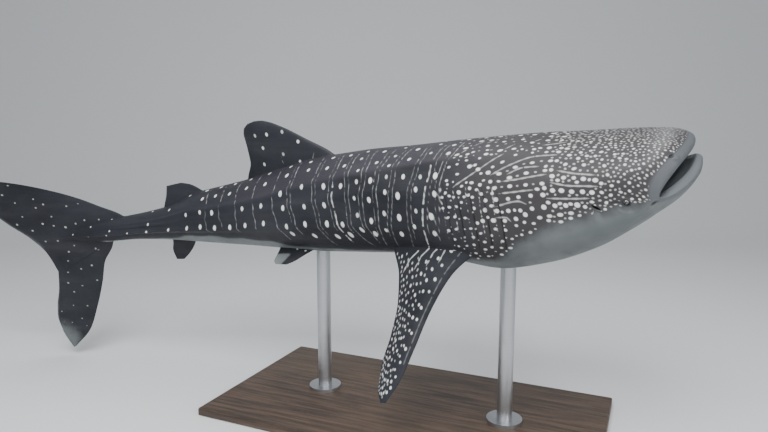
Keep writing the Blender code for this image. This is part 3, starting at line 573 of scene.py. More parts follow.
def grid_mesh(name, grid, marks, piece):
    """A closed mesh over world rings, with a fan on each end, that carries its marks."""
    rings, count = grid.shape[:2]
    hubs = np.stack([grid[0].mean(0), grid[-1].mean(0)])
    index = np.arange(rings * count).reshape(rings, count)
    right = np.roll(index, -1, 1)
    faces = np.stack([index[:-1], right[:-1], right[1:], index[1:]], -1).reshape(-1, 4).tolist()
    for a, b, hub in ((right[0], index[0], 0), (index[-1], right[-1], 1)):
        faces += np.stack([a, b, np.full(count, rings * count + hub)], -1).tolist()
    mesh = bpy.data.meshes.new(name)
    mesh.from_pydata(np.concatenate([grid.reshape(-1, 3), hubs]).tolist(), [], faces)
    mesh.update()
    for mark_name, value in zip(MARK_NAMES, marks):
        flat = np.asarray(value, np.float32)
        flat = np.concatenate([flat.ravel(), [flat[0].mean(), flat[-1].mean()]])
        mesh.attributes.new(mark_name, "FLOAT", "POINT").data.foreach_set("value", flat)
    pieces = np.full(len(mesh.polygons), piece, np.int32)
    mesh.attributes.new("piece", "INT", "FACE").data.foreach_set("value", pieces)
    work = bmesh.new()
    work.from_mesh(mesh)
    bmesh.ops.remove_doubles(work, verts=work.verts, dist=1e-6)
    bmesh.ops.recalc_face_normals(work, faces=work.faces)
    if work.calc_volume(signed=True) < 0:
        bmesh.ops.reverse_faces(work, faces=work.faces)
    work.to_mesh(mesh)
    work.free()
    return put_in_scene(name, mesh)


def along(knots, v):
    """Places part of the way along a smooth edge through straight places."""
    knots = np.asarray(knots, float)
    steps = np.linalg.norm(np.diff(knots, axis=0), axis=1)
    run = np.concatenate([[0], np.cumsum(steps)])
    return np.stack([curve(run, knots[:, k], v * run[-1]) for k in range(knots.shape[1])], -1)


def blade_profile(c):
    """Half thickness of a fin along its chord, 1 at the thickest place."""
    front = np.sqrt(np.clip(c, 0, 1) / 0.3) * (1.3 - c)
    rear = 1.0 - (np.clip(c - 0.3, 0, 1) / 0.7) ** 1.5 * 0.97
    return np.where(c < 0.3, front, rear)


def blade_grid(front, rear, thick_root, thick_tip, count, steps):
    """A fin's chord places, half thicknesses and chord shares: rings of points by rings."""
    v = np.linspace(0, 1, round(count * FIN_DETAIL))
    a = along(front, v)
    b = along(rear, v)
    c = (1 - np.cos(np.pi * np.linspace(0, 1, round(steps * FIN_DETAIL)))) / 2
    half = (thick_root + (thick_tip - thick_root) * v**0.7) * np.sqrt(np.clip(1.02 - v**14, 0.02, 1))
    thick = half[:, None] * blade_profile(c)[None]
    thick[:, 0] = 0
    offset = np.concatenate([thick, -thick[:, -2:0:-1]], 1)
    chord = np.broadcast_to(np.concatenate([c, c[-2:0:-1]]), offset.shape)
    flat = a[:, None] + (b - a)[:, None] * chord[..., None]
    return flat[..., 0], flat[..., 1], offset, chord


def middle_fin(name, *shape):
    """A fin on the midline."""
    t, z, offset, chord = blade_grid(*shape)
    return grid_mesh(name, bend(t, offset, z), paint_fin(name, t, z, offset, chord), FIN_PIECES[name])


def paired_fin(name, side, aim, root, front, rear, thick_root, thick_tip, bow, count, steps):
    """A fin at the side that points aim degrees below the level."""
    t0, y0, z0 = root
    down = math.radians(aim)
    a, b, offset, chord = blade_grid(front, rear, thick_root, thick_tip, count, steps)
    lift = bow * (np.maximum(b, 0) / 16) ** 2 + offset
    y = side * (y0 + math.cos(down) * b + math.sin(down) * lift)
    z = z0 - math.sin(down) * b + math.cos(down) * lift
    return grid_mesh(name, bend(t0 + a, y, z), paint_fin(name, a, b, offset, chord), FIN_PIECES[name])


def build_fins():
    """Every fin as a closed mesh that reaches into the body."""
    fins = {name: middle_fin(name, *shape) for name, shape in MIDDLE_FINS.items()}
    union(fins["caudal_upper"], [fins.pop("caudal_lower")])
    pairs = [paired_fin(name, side, aim, *shape) for name, (side, aim, shape) in PAIRED_FINS.items()]
    return [*fins.values(), *pairs]


def union(target, extras):
    """Fuse closed pieces into a mesh."""
    for extra in extras:
        change = target.modifiers.new("union", "BOOLEAN")
        change.operation = "UNION"
        change.solver = "MANIFOLD"
        change.object = extra
    graph = bpy.context.evaluated_depsgraph_get()
    mesh = bpy.data.meshes.new_from_object(target.evaluated_get(graph))
    target.modifiers.clear()
    target.data = mesh
    for extra in extras:
        bpy.data.objects.remove(extra, do_unlink=True)


class Chart:
    """A sheet of marks: how far inside the nearest mark each place lies, and its tone.

    Marks are given with girths above 0, and fall on the side that is 1 for left, -1 for right.
    """

    side = 1

    def __init__(self, low_t, high_t, low_g, high_g):
        self.low = (low_t, low_g)
        shape = (int((high_t - low_t) / CHART_CELL), int((high_g - low_g) / CHART_CELL))
        self.ink = np.full(shape, -1.0, np.float32)
        self.tone = np.zeros(shape, np.float32)

    def spot(self, t, g, a, b, lean=0.0, tone=1.0):
        """Stamp an oval: half sizes a along the body and b round it, turned by lean degrees."""
        reach = max(a, b) * 1.6 + 0.12
        window = []
        away = []
        for place, low, size in zip((t, self.side * g), self.low, self.ink.shape):
            place = place - low
            first = max(0, int((place - reach) / CHART_CELL))
            last = min(size, int((place + reach) / CHART_CELL) + 2)
            if last <= first:
                return
            window.append(slice(first, last))
            away.append(np.arange(first, last) * CHART_CELL - place)
        u, v = turned(away[0][:, None], away[1][None], self.side * lean)
        inside = (1 - np.hypot(u / a, v / b)) * min(a, b)
        window = tuple(window)
        better = inside > self.ink[window]
        self.ink[window] = np.where(better, inside, self.ink[window])
        self.tone[window] = np.where(better, tone, self.tone[window])

    def line(self, places, half, tone, breaks, random):
        """Stamp a thin line through places, with gaps and beads where breaks is above 0."""
        places = np.asarray(places, float)
        steps = np.hypot(*np.diff(places, axis=0).T)
        run = np.concatenate([[0], np.cumsum(steps)])
        phase = random.uniform(0, 6, 3)
        dabs = []
        for v in np.linspace(0, run[-1], max(2, int(run[-1] / (half * 0.6)))):
            wave = math.sin(v * 2.3 + phase[0]) + 0.7 * math.sin(v * 5.1 + phase[1])
            t, g = (np.interp(v, run, row) for row in places.T)
            if wave >= -1.7 + 2.2 * breaks and self.free(t, g, half + MARKS_APART):
                ends = min(1.0, 0.35 + min(v, run[-1] - v) * 1.2)
                dabs.append((t, g, half * (1 + 0.18 * math.sin(v * 7 + phase[2])) * ends))
        for t, g, size in dabs:
            self.spot(t, g, size, size, 0.0, tone)

    def free(self, t, g, reach):
        """Whether no mark lies within reach of a place."""
        half = max(1, round(0.9 * reach / CHART_CELL))
        i = int((t - self.low[0]) / CHART_CELL)
        j = int((self.side * g - self.low[1]) / CHART_CELL)
        window = self.ink[max(i - half, 0):max(i + half + 1, 1), max(j - half, 0):max(j + half + 1, 1)]
        return window.size > 0 and window.max() < -MARKS_APART

    def read(self, t, g):
        """Ink and tone at places, with girths below 0 on the right side."""
        u = np.clip((t - self.low[0]) / CHART_CELL, 0, self.ink.shape[0] - 2)
        v = np.clip((g - self.low[1]) / CHART_CELL, 0, self.ink.shape[1] - 2)
        i, j = u.astype(int), v.astype(int)
        a, b = u - i, v - j
        found = []
        for sheet in (self.ink, self.tone):
            low = sheet[i, j] * (1 - b) + sheet[i, j + 1] * b
            high = sheet[i + 1, j] * (1 - b) + sheet[i + 1, j + 1] * b
            found.append(low * (1 - a) + high * a)
        return found


GIRTH_ANGLES = np.arange(0, 181, 2.0)


def girth_table():
    """Girths at whole stations and at a few angles, for placing marks."""
    t, angle = np.meshgrid(np.arange(0, 90, 1.0), GIRTH_ANGLES, indexing="ij")
    y, z = section(t, angle)
    steps = np.hypot(np.diff(y, axis=1), np.diff(z, axis=1))
    return np.concatenate([np.zeros((len(t), 1)), np.cumsum(steps, 1)], 1)


GIRTHS = girth_table()


def girth_at(t, angle):
    """Girth at a station and an angle."""
    i = min(max(int(t), 0), len(GIRTHS) - 2)
    a, b = (np.interp(angle, GIRTH_ANGLES, row) for row in GIRTHS[i:i + 2])
    return a + (b - a) * min(max(t - i, 0), 1)


def edge_at(t):
    """Girth of the edge between flank and underside."""
    return curve(EDGE_STATIONS, EDGE_GIRTH, t)


def ridge_at(t):
    """Girth of the upper ridge."""
    return curve(RIDGE_GIRTH_STATIONS, RIDGE_GIRTH, t)


def column_stations():
    """Stations of the columns of large spots, from the gills to the tail."""
    places = [25.0]
    while places[-1] < 86:
        places.append(places[-1] + curve(*COLUMN_PITCH, places[-1]))
    return places


def girth_share(t):
    """Half girth at a station against that of the trunk, behind the trunk."""
    whole = GIRTHS[38][-1]
    i = min(max(t, 38.0), len(GIRTHS) - 1.001)
    low, high = GIRTHS[int(i)][-1], GIRTHS[int(i) + 1][-1]
    return (low + (high - low) * (i % 1)) / whole


def flank_place(t0, g, share):
    """A column's place at a girth: it leans back going down, and bows forward at the foot."""
    foot = 0.3 * max(0.0, g - 11.5) ** 1.3 * smooth(31, 37, t0)
    return t0 + curve(*COLUMN_LEAN, t0) * (g - 6.5) - foot, g * share


def mark_columns(chart, random, columns):
    """Columns of large spots, every second one before the rear trunk closer and fainter."""
    for k, t0 in enumerate(columns):
        share = girth_share(t0)
        small = k % 2 == 1 and t0 < 40
        rows = ROWS_AT_TAIL if t0 > 48 else ROWS_OF_SMALL if small else ROWS_OF_LARGE
        for j, row in enumerate(rows):
            if random.random() < 0.05 or (t0 > 63 and (j + k) % 2 == 0 and row < 9):
                continue
            t, g = flank_place(t0 + random.uniform(-0.2, 0.2), row + random.uniform(-0.25, 0.25), share)
            if g > edge_at(t0) - 0.5:
                continue
            above = smooth(6.2, 4.6, row)
            foot = smooth(11, 13, row)
            size = random.uniform(0.88, 1.12) * curve(*COLUMN_TAPER, t0) * (0.8 if small else 1.0)
            wide = (SPOT_LONG - 0.03 * above) * size
            tall = (SPOT_TALL - 0.09 * above) * size * (1 + 0.3 * foot * smooth(33, 36, t0))
            lean = random.uniform(-6, 6) - 22 * above + 34 * foot * smooth(32, 37, t0)
            tone = random.uniform(0.9, 1.0) - (0.3 if small and j % 2 else 0.0)
            chart.spot(t, g, wide, tall, lean, tone)


def mark_lines(chart, random, columns):
    """Thin lines down the flank between the columns."""
    for t0, t1 in zip([23.2, *columns], columns):
        if t0 > 62:
            break
        middle = (t0 + t1) / 2
        share = girth_share(middle)
        foot = edge_at(middle) / share - random.uniform(0.6, 2.6)
        bright = random.random() < 0.22
        tone = 0.6 if bright else random.uniform(0.18, 0.34)
        drift = random.uniform(-0.2, 0.2)
        wave = random.uniform(0, 6)

        def strand(shift, low, high):
            """Places down one line."""
            bows = ((g, 0.13 * math.sin(0.75 * g + wave)) for g in np.linspace(low, high, 14))
            return [flank_place(middle + shift + drift + bow, g, share) for g, bow in bows]

        ridge = ridge_at(middle) / share
        chart.line(strand(0, 0.9, ridge), 0.07, 0.34, 0.3 + 0.2 * smooth(44, 58, middle), random)
        chart.line(strand(0, ridge, foot), 0.1 if bright else 0.068, tone, 0.4 if bright else 0.05, random)
        if 24 < middle < 47:
            aside = random.choice([-1, 1]) * random.uniform(0.5, 0.62)
            chart.line(strand(aside, 1.5, foot - 2), 0.055, 0.3, 0.25, random)


def mark_stripes(chart, random):
    """Long curved stripes above the gills with rows of spots between them."""
    for knots in STRIPES:
        places = along(knots, np.linspace(0, 1, 22)) + random.uniform(-0.07, 0.07, 2) * (1, chart.side)
        chart.line(places, 0.085, 0.45, 0.06, random)
    for *knots, apart, a, b in STRIPE_ROWS:
        long = np.linalg.norm(np.diff(knots, axis=0), axis=1).sum()
        for k, place in enumerate(along(knots, np.linspace(0, 1, round(long / apart) + 1))):
            little = apart < 0.9 and k % 2 == 1
            size = random.uniform(0.88, 1.1) * (0.55 if little else 1.0)
            t, g = place + random.uniform(-0.06, 0.06, 2)
            chart.spot(t, g, a * size, b * size, 10, 0.55 if little else random.uniform(0.88, 1.0))


def at(value, *place):
    """A number, or what a function gives at a place."""
    return value(*place) if callable(value) else value


def sow(chart, random, area, gap, size, tone, clear=0.1, throws=9):
    """Loose spots that keep apart: area gives two stations and the girths between them."""
    t0, t1, low, high = area
    placed = {}
    tallest = max(at(high, t) - at(low, t) for t in np.linspace(t0, t1, 12))
    middle = at(gap, (t0 + t1) / 2, (at(low, t0) + at(high, t1)) / 2)
    for _ in range(int(throws * (t1 - t0) * tallest / middle**2)):
        t = random.uniform(t0, t1)
        g = at(low, t) + random.uniform(0, tallest)
        if g > at(high, t) or random.random() > 0.12 + (t1 - t) / FADE_OUT:
            continue
        space = at(gap, t, g)
        cell = (int(t), int(g))
        near = [p for i in (-1, 0, 1) for j in (-1, 0, 1) for p in placed.get((cell[0] + i, cell[1] + j), ())]
        if any((t - p) ** 2 + (g - q) ** 2 < space * space for p, q in near):
            continue
        r = at(size, t, g) * random.uniform(0.85, 1.15)
        if not chart.free(t, g, r + clear):
            continue
        placed.setdefault(cell, []).append((t, g))
        shape = random.uniform(1.0, 1.25)
        chart.spot(t, g, r * shape, r / shape, random.uniform(-5, 35), tone * random.uniform(0.85, 1))


def mark_nape(chart, random):
    """Larger spots and slanted dashes over the back, from the head to the first columns."""
    area = (11.8, 24.2, 0.4, lambda t: ridge_at(t) + 0.5)
    sow(chart, random, area, lambda t, g: 1.2 + 0.05 * (t - 12), 0.235, 1.0, 0.14, 14)
    for k in range(9):
        t = 13.4 + 1.25 * k + random.uniform(-0.3, 0.3)
        g = random.uniform(0.9, max(1.2, ridge_at(t) - 0.8))
        half = np.array([0.6, 0.7]) * random.uniform(0.5, 0.9)
        if chart.free(t, g, 0.3):
            chart.line([(t, g) - half, (t, g) + half], 0.08, 0.5, 0.0, random)
    sow(chart, random, area, 0.8, 0.12, 0.6, 0.17)
    area = (12.5, 24.6, 3.5, lambda t: 9.0 + 0.3 * max(0, t - 18))
    sow(chart, random, area, 0.95, 0.175, 1.0, 0.13, 14)


def mark_gills(chart, random):
    """Spots over the gill flaps, with small flecks along the slits."""
    area = (14.5, 24.6, lambda t: 7.6 if t > 18.4 else 9.9, lambda t: edge_at(t) + 0.1)
    sow(chart, random, area, 0.92, 0.17, 1.0, 0.11, 14)
    for slit in SLITS:
        g = girth_at(GILL_FIRST, GILL_TOP) + random.uniform(0.2, 0.8)
        while g < girth_at(GILL_FIRST, GILL_FOOT) - 1.2:
            chart.spot(slit - 0.16, g, 0.06, random.uniform(0.07, 0.22), 0, random.uniform(0.6, 1.0))
            g += random.uniform(0.35, 0.9)
    sow(chart, random, area, 0.8, 0.1, 0.75, 0.16)


def mark_head(chart, random):
    """Dense spots over the head that shrink toward the lips, faint on top."""
    for low, high, tone in ((0.15, 2.2, 0.55), (2.2, 3.8, 0.75), (3.8, 12.0, 1.0)):
        area = (0.6, 13.5, low, lambda t: min(high, edge_at(t) + 0.15))
        sow(chart, random, area, lambda t, g: 0.3 + 0.052 * t, lambda t, g: 0.052 + 0.013 * t, tone, 0.06, 16)
    area = (0.6, 13.0, 0.2, lambda t: edge_at(t) + 0.2)
    sow(chart, random, area, lambda t, g: 0.24 + 0.02 * t, lambda t, g: 0.07 + 0.004 * t, 0.6, 0.055, 10)


def paint_body(straight, behind, dark):
    """The body's marks and tones at its vertices."""
    chart = Chart(0, CHART_LONG, -CHART_HALF, CHART_HALF)
    columns = column_stations()
    for chart.side, seed in ((-1, 5), (1, 23)):
        random = np.random.default_rng(seed)
        mark_columns(chart, random, columns)
        mark_lines(chart, random, columns)
        mark_stripes(chart, random)
        mark_nape(chart, random)
        mark_gills(chart, random)
        mark_head(chart, random)
    t = straight[0]
    g = girth_of(straight)
    ink, tone = chart.read(t, g)
    g = np.abs(g)
    inside = behind < 0
    angle = np.abs(ANGLES)
    edge = edge_at(t) + 0.12 * np.sin(t * 1.3 + 1)
    width = curve(*EDGE_WIDTH, t)
    pale = smooth(edge - 0.9 * width, edge + 1.3 * width, g)
    plain = PLAIN_BAND + PLAIN_BAND_SIDE * smooth(35, 85, angle) * smooth(125, 95, angle)
    lips = np.where(inside, 0, 1 - smooth(0.7 * plain, 1.25 * plain, behind))
    ink = ink - 0.5 * smooth(0.4, 0.75, lips) - 0.6 * smooth(edge + 0.2 * width, edge + width, g)
    ink = np.where(inside, -1, ink - 1.5 * smooth(0.0, 0.35, dark))
    ridge = ridge_at(t)
    # painted top light: lighter over the back above the upper ridge
    back = smooth(ridge + 0.3, ridge - 0.5, g) * smooth(12, 23, t) * smooth(66, 48, t)
    snout = smooth(4.6, 2.2, t) * smooth(1.0, 2.2, behind) * smooth(7.6, 5.2, g)
    # painted shade, darker deeper inside the mouth; the face's hollows take their painted shade too
    deep = np.where(angle > 90, smooth(-1.5, -3.4, behind), smooth(-0.8, -2.0, behind))
    mouth = np.where(inside, deep, 0.85 * dark)
    return ink, tone, pale, back, smooth(28, 15, t), mouth, np.where(inside, 1.0, lips), snout


def mark_pectoral(chart, random):
    """Rows of long spots down a pectoral fin, slanted dashes at its root and a line at its front."""
    for k in range(4):
        root = np.array([0.9 + 1.6 * k, -1.2 + 0.3 * k])
        chart.line([root, root + (1.5, 1.2), root + (2.4, 2.7)], 0.08, 0.6, 0.15, random)
    for share, apart, a, b, tone in PECTORAL_ROWS:
        v = random.uniform(0.1, 0.16)
        while v < 0.97:
            front, rear = along(PECTORAL_FRONT, v), along(PECTORAL_REAR, v)
            t, g = front + (rear - front) * (share + random.uniform(-0.025, 0.025))
            size = random.uniform(0.8, 1.15) * (1 - 0.3 * v)
            if chart.free(t, g, 0.06):
                chart.spot(t, g, a * size, b * size, random.uniform(-22, 2), tone * random.uniform(0.75, 1.0))
            v += apart * (1 - 0.25 * v) * random.uniform(0.8, 1.2) / PECTORAL_SPAN
    v = np.linspace(0.1, 0.8, 14)
    front, rear = along(PECTORAL_FRONT, v), along(PECTORAL_REAR, v)
    chart.line(front + (rear - front) * (0.13 + 0.012 * np.sin(11 * v))[:, None], 0.07, 0.06, 0.3, random)


def paint_fin(name, u, v, offset, chord):
    """A fin's marks and tones at its vertices, from its chord places."""
    random = np.random.default_rng(40 + FIN_PIECES[name])
    chart = Chart(u.min() - 1, u.max() + 1, v.min() - 1, v.max() + 1)
    span = np.broadcast_to(np.linspace(0, 1, len(u))[:, None], u.shape)
    limit = chord >= 0
    if name == "first_dorsal":
        for p, q, tone in DORSAL_SPOTS:
            chart.spot(p, q, 0.19 * random.uniform(0.9, 1.1), 0.25 * random.uniform(0.9, 1.1), -10, tone)
        for places in DORSAL_LINES:
            chart.line(places, 0.055, 0.35, 0.1, random)
        pale = 0.4 * smooth(0.9, 1.0, chord) * smooth(0.6, 0.8, span)
    elif name == "second_dorsal":
        sow(chart, random, (63, 69, 2.2, 3.6), 2.6, 0.1, 0.4)
        pale = 0.3 * smooth(0.9, 1.0, chord) * smooth(0.35, 0.6, span)
    elif name == "anal":
        pale = 0.25 * smooth(0.85, 1.0, chord)
    elif name.startswith("caudal"):
        gap, size = lambda p, q: 2.2 + 0.03 * max(0, q), lambda p, q: 0.18 - 0.005 * abs(q)
        sow(chart, random, (80, 99, -17.0, 10.0), gap, size, 0.5)
        pale = 0.5 * smooth(0.93, 1.0, chord) * smooth(0.1, 0.3, span)
        limit = (chord > 0.07) & (chord < 0.93)
        if name == "caudal_lower":
            limit = limit & (span < 0.78)
            pale = np.maximum(pale, 0.9 * smooth(0.5, 1.02, span * (0.75 + 0.4 * chord)))
    elif name.startswith("pectoral"):
        mark_pectoral(chart, random)
        limit = chord > 0.05
        pale = smooth(0.0, -0.1, offset) * 0.9
    else:
        sow(chart, random, (0, 7, 0.2, 3.0), 1.3, 0.13, 0.8)
        tip = smooth(0.45, 0.62, span) * smooth(0.35, 0.6, chord)
        pale = np.maximum(smooth(0.0, -0.05, offset) * 0.9, tip)
    ink, tone = chart.read(u, v)
    ink = np.where(limit & (pale < 0.5), ink, -1)
    return ink, tone, pale, *[np.zeros_like(u)] * (len(MARK_NAMES) - 3)


def build_skin():
    """The whole animal as one closed skin."""
    straight, behind = body_grid()
    dark = shape_face(straight, behind)
    skin = grid_mesh("shark_skin", bend(*straight), paint_body(straight, behind, dark), 0)
    union(skin, build_fins())
    work = bmesh.new()
    work.from_mesh(skin.data)
    bmesh.ops.remove_doubles(work, verts=work.verts, dist=2e-5)
    work.to_mesh(skin.data)
    work.free()
    skin.data.shade_smooth()
    return skin


def pull(rows, key, width=1, kind=np.int32):
    """One value of every row of a mesh, as an array."""
    found = np.zeros(len(rows) * width, kind)
    rows.foreach_get(key, found)
    return found


def seams(mesh):
    """Whether two pieces meet at each vertex."""
    corner = pull(mesh.loops, "vertex_index")
    number = np.repeat(pull(mesh.attributes["piece"].data, "value"), pull(mesh.polygons, "loop_total"))
    low = np.full(len(mesh.vertices), 99, np.int32)
    high = np.full(len(mesh.vertices), -1, np.int32)
    np.minimum.at(low, corner, number)
    np.maximum.at(high, corner, number)
    return low != high


def relax_seams(mesh, reach=7, rounds=14):
    """Soften the skin where a fin grows out of the body."""
    points = pull(mesh.vertices, "co", 3, np.float32).reshape(-1, 3).astype(float)
    seam = seams(mesh)
    a, b = pull(mesh.edges, "vertices", 2).reshape(-1, 2).T

    def around(value):
        """Each vertex's sum over its neighbours."""
        return np.bincount(a, value[b], len(points)) + np.bincount(b, value[a], len(points))

    ring = np.where(seam, 0, reach + 1)
    for _ in range(reach):
        near = ring.copy()
        np.minimum.at(near, a, ring[b] + 1)
        np.minimum.at(near, b, ring[a] + 1)
        ring = near
    weight = np.clip(1 - ring / (reach + 1), 0, 1)[:, None]
    count = np.maximum(around(np.ones(len(points))), 1)[:, None]
    for _ in range(rounds):
        total = np.stack([around(column) for column in points.T], 1)
        points += weight * 0.6 * (total / count - points)
    mesh.vertices.foreach_set("co", points.astype(np.float32).ravel())
    for name in MARK_NAMES:
        mark = mesh.attributes[name].data
        value = pull(mark, "value", 1, np.float32)
        known = np.where(seam, 0.0, 1.0)
        for _ in range(3):
            share = around(known)
            value = np.where((known == 0) & (share > 0), around(value * known) / np.maximum(share, 1), value)
            known = np.where(share > 0, 1.0, known)
        mark.foreach_set("value", value.astype(np.float32))
    mesh.update()


class Tree:
    """A short way to write a material's nodes."""

    def __init__(self, name):
        self.material = bpy.data.materials.new(name)
        self.material.use_nodes = True
        self.nodes = self.material.node_tree.nodes
        self.links = self.material.node_tree.links

    def put(self, socket, value):
        """Link a socket to another, or set its value."""
        if isinstance(value, bpy.types.NodeSocket):
            self.links.new(value, socket)
        elif socket.type == "RGBA":
            socket.default_value = (*value, 1)
        else:
            socket.default_value = value

    def add(self, kind, *values, **settings):
        """A new node with its settings and the values of its first sockets."""
        node = self.nodes.new("ShaderNode" + kind)
        for key, setting in settings.items():
            setattr(node, key, setting)
        for socket, value in zip(node.inputs, values):
            self.put(socket, value)
        return node

    def place(self, stretch=None):
        """The object's own space, or that space scaled by three numbers."""
        space = self.add("TexCoord").outputs["Object"]
        return self.add("VectorMath", space, stretch, operation="MULTIPLY").outputs[0] if stretch else space

    def attribute(self, name):
        """A number stored on the mesh."""
        return self.add("Attribute", attribute_name=name).outputs["Fac"]

    def times(self, a, b):
        """A product."""
        return self.add("Math", a, b, operation="MULTIPLY").outputs[0]

    def plus(self, a, b):
        """A sum."""
        return self.add("Math", a, b, operation="ADD").outputs[0]

    def step(self, value, low, high, to_low=0.0, to_high=1.0):
        """A soft step from to_low to to_high between low and high."""
        values = (value, low, high, to_low, to_high)
        return self.add("MapRange", *values, interpolation_type="SMOOTHSTEP").outputs[0]

    def mix(self, factor, a, b):
        """A mix of two colours."""
        node = self.add("Mix", factor, data_type="RGBA")
        self.put(node.inputs[6], a)
        self.put(node.inputs[7], b)
        return node.outputs[2]

    def tint(self, base, name, amount, colour):
        """A colour with another over it where a number on the mesh is high."""
        return self.mix(self.times(self.attribute(name), amount), base, colour)

    def noise(self, scale, detail=3.0, rough=0.55, stretch=None):
        """Noise, 0 to 1."""
        return self.add("TexNoise", self.place(stretch), 0.0, scale, detail, rough).outputs["Fac"]

    def bump(self, height, distance, strength, **under):
        """A bump from a height, over another one."""
        node = self.add("Bump")
        for name, value in {"Height": height, "Distance": distance, "Strength": strength, **under}.items():
            self.put(node.inputs[name], value)
        return node.outputs["Normal"]

    def surface(self, colour, roughness, normal=None, **values):
        """The material, once its shader has its values."""
        values = {"Base Color": colour, "Roughness": roughness, **values}
        if normal is not None:
            values["Normal"] = normal
        for name, value in values.items():
            self.put(self.nodes["Principled BSDF"].inputs[name.replace("_", " ")], value)
        return self.material


def skin_material():
    """Dark skin with pale marks, a back painted lighter as a painted top light, a pale underside darkened
    with painted shade, painted shade in the mouth and the face's hollows, and fine scales.
    """
    tree = Tree("shark_skin")
    broad = tree.noise(1.6, 4)
    fine = tree.noise(14, 6, 0.6)
    streaks = tree.noise(2.6, 5, 0.6, stretch=(0.35, 1.0, 2.2))
    base = tree.mix(tree.step(broad, 0.3, 0.7), *DARK_SKIN)
    # painted top light over the back
    base = tree.tint(base, "back", 0.85, BACK_TOP_LIGHT)
    base = tree.tint(base, "head", 0.8, HEAD_SKIN)
    base = tree.mix(tree.step(streaks, 0.42, 0.72, 0, 0.22), base, STREAKS)
    # the underside's pale colour, darkened with painted shade
    under = tree.mix(tree.step(broad, 0.35, 0.65), *PALE_UNDERSIDE_IN_SHADE)
    under = tree.mix(tree.step(fine, 0.5, 0.8, 0, 0.25), under, UNDERSIDE_CLOUDS)
    ragged = tree.plus(tree.attribute("pale"), tree.times(tree.plus(fine, -0.5), 0.5))
    base = tree.mix(tree.step(ragged, 0.2, 0.85), base, under)
    base = tree.tint(base, "snout", 0.6, SNOUT)
    base = tree.tint(base, "lips", 0.8, LIPS)
    wobble = tree.times(tree.plus(tree.noise(45, 2), -0.5), 0.06)
    mark = tree.step(tree.plus(tree.attribute("ink"), wobble), -0.05, 0.07)
    strength = tree.times(mark, tree.step(tree.attribute("tone"), 0.0, 1.0, 0.12, 0.96))
    colour = tree.mix(strength, base, tree.mix(fine, *MARKS))
    # painted shade inside the mouth and in the hollows of the face
    colour = tree.mix(tree.attribute("mouth"), colour, tree.mix(tree.step(fine, 0.3, 0.7), *HOLLOW_SHADE))
    scales = tree.add("TexVoronoi", tree.place(), 0.0, 260).outputs["Distance"]
    normal = tree.bump(scales, 0.0006, 0.35)
    normal = tree.bump(tree.noise(30, 5, 0.6), 0.0022, 0.5, Normal=normal)
    normal = tree.bump(streaks, 0.006, 0.4, Normal=normal)
    return tree.surface(colour, tree.step(fine, 0.2, 0.8, 0.42, 0.58), normal, Specular_IOR_Level=0.24)


def eye_material():
    """A dark pupil in a brown-grey iris with a pale rim."""
    tree = Tree("eye")
    aside = tree.attribute("ink")
    fine = tree.noise(700, 4)
    iris = tree.mix(tree.times(fine, tree.attribute("tone")), (0.035, 0.03, 0.026), (0.22, 0.2, 0.17))
    colour = tree.mix(tree.step(aside, 0.3, 0.36), (0.003, 0.003, 0.004), iris)
    colour = tree.mix(tree.step(aside, 0.56, 0.62), colour, (0.01, 0.01, 0.011))
    colour = tree.mix(tree.step(aside, 0.68, 0.78), colour, (0.16, 0.165, 0.17))
    return tree.surface(colour, 0.22, tree.bump(fine, 0.0003, 0.3), Coat_Weight=1.0, Coat_Roughness=0.04)


def steel_material():
    """Brushed steel, with fine scratches round the rod."""
    tree = Tree("brushed_steel")
    brushed = tree.noise(3.0, 5, 0.7, stretch=(2.0, 2.0, 160.0))
    colour = tree.mix(brushed, (0.42, 0.43, 0.45), (0.6, 0.61, 0.63))
    colour = tree.mix(tree.step(tree.noise(5.0, 4), 0.5, 0.8, 0, 0.35), colour, (0.3, 0.3, 0.31))
    rough = tree.step(brushed, 0.25, 0.75, 0.28, 0.46)
    return tree.surface(colour, rough, tree.bump(brushed, 0.0004, 0.4), Metallic=1.0)


def wood_material():
    """Dark stained wood with a long grain."""
    tree = Tree("stained_wood")
    grain = tree.noise(2.2, 6, 0.62, stretch=(0.7, 14.0, 14.0))
    pores = tree.noise(9.0, 5, 0.7, stretch=(1.2, 60.0, 60.0))
    colour = tree.mix(tree.step(grain, 0.35, 0.65), (0.03, 0.019, 0.013), (0.095, 0.06, 0.04))
    colour = tree.mix(tree.step(pores, 0.55, 0.75, 0, 0.7), colour, (0.014, 0.009, 0.007))
    colour = tree.mix(tree.step(tree.noise(0.9, 3), 0.4, 0.7, 0, 0.4), colour, (0.12, 0.078, 0.052))
    normal = tree.bump(tree.plus(grain, pores), 0.0015, 0.35)
    return tree.surface(colour, tree.step(pores, 0.3, 0.8, 0.38, 0.62), normal)


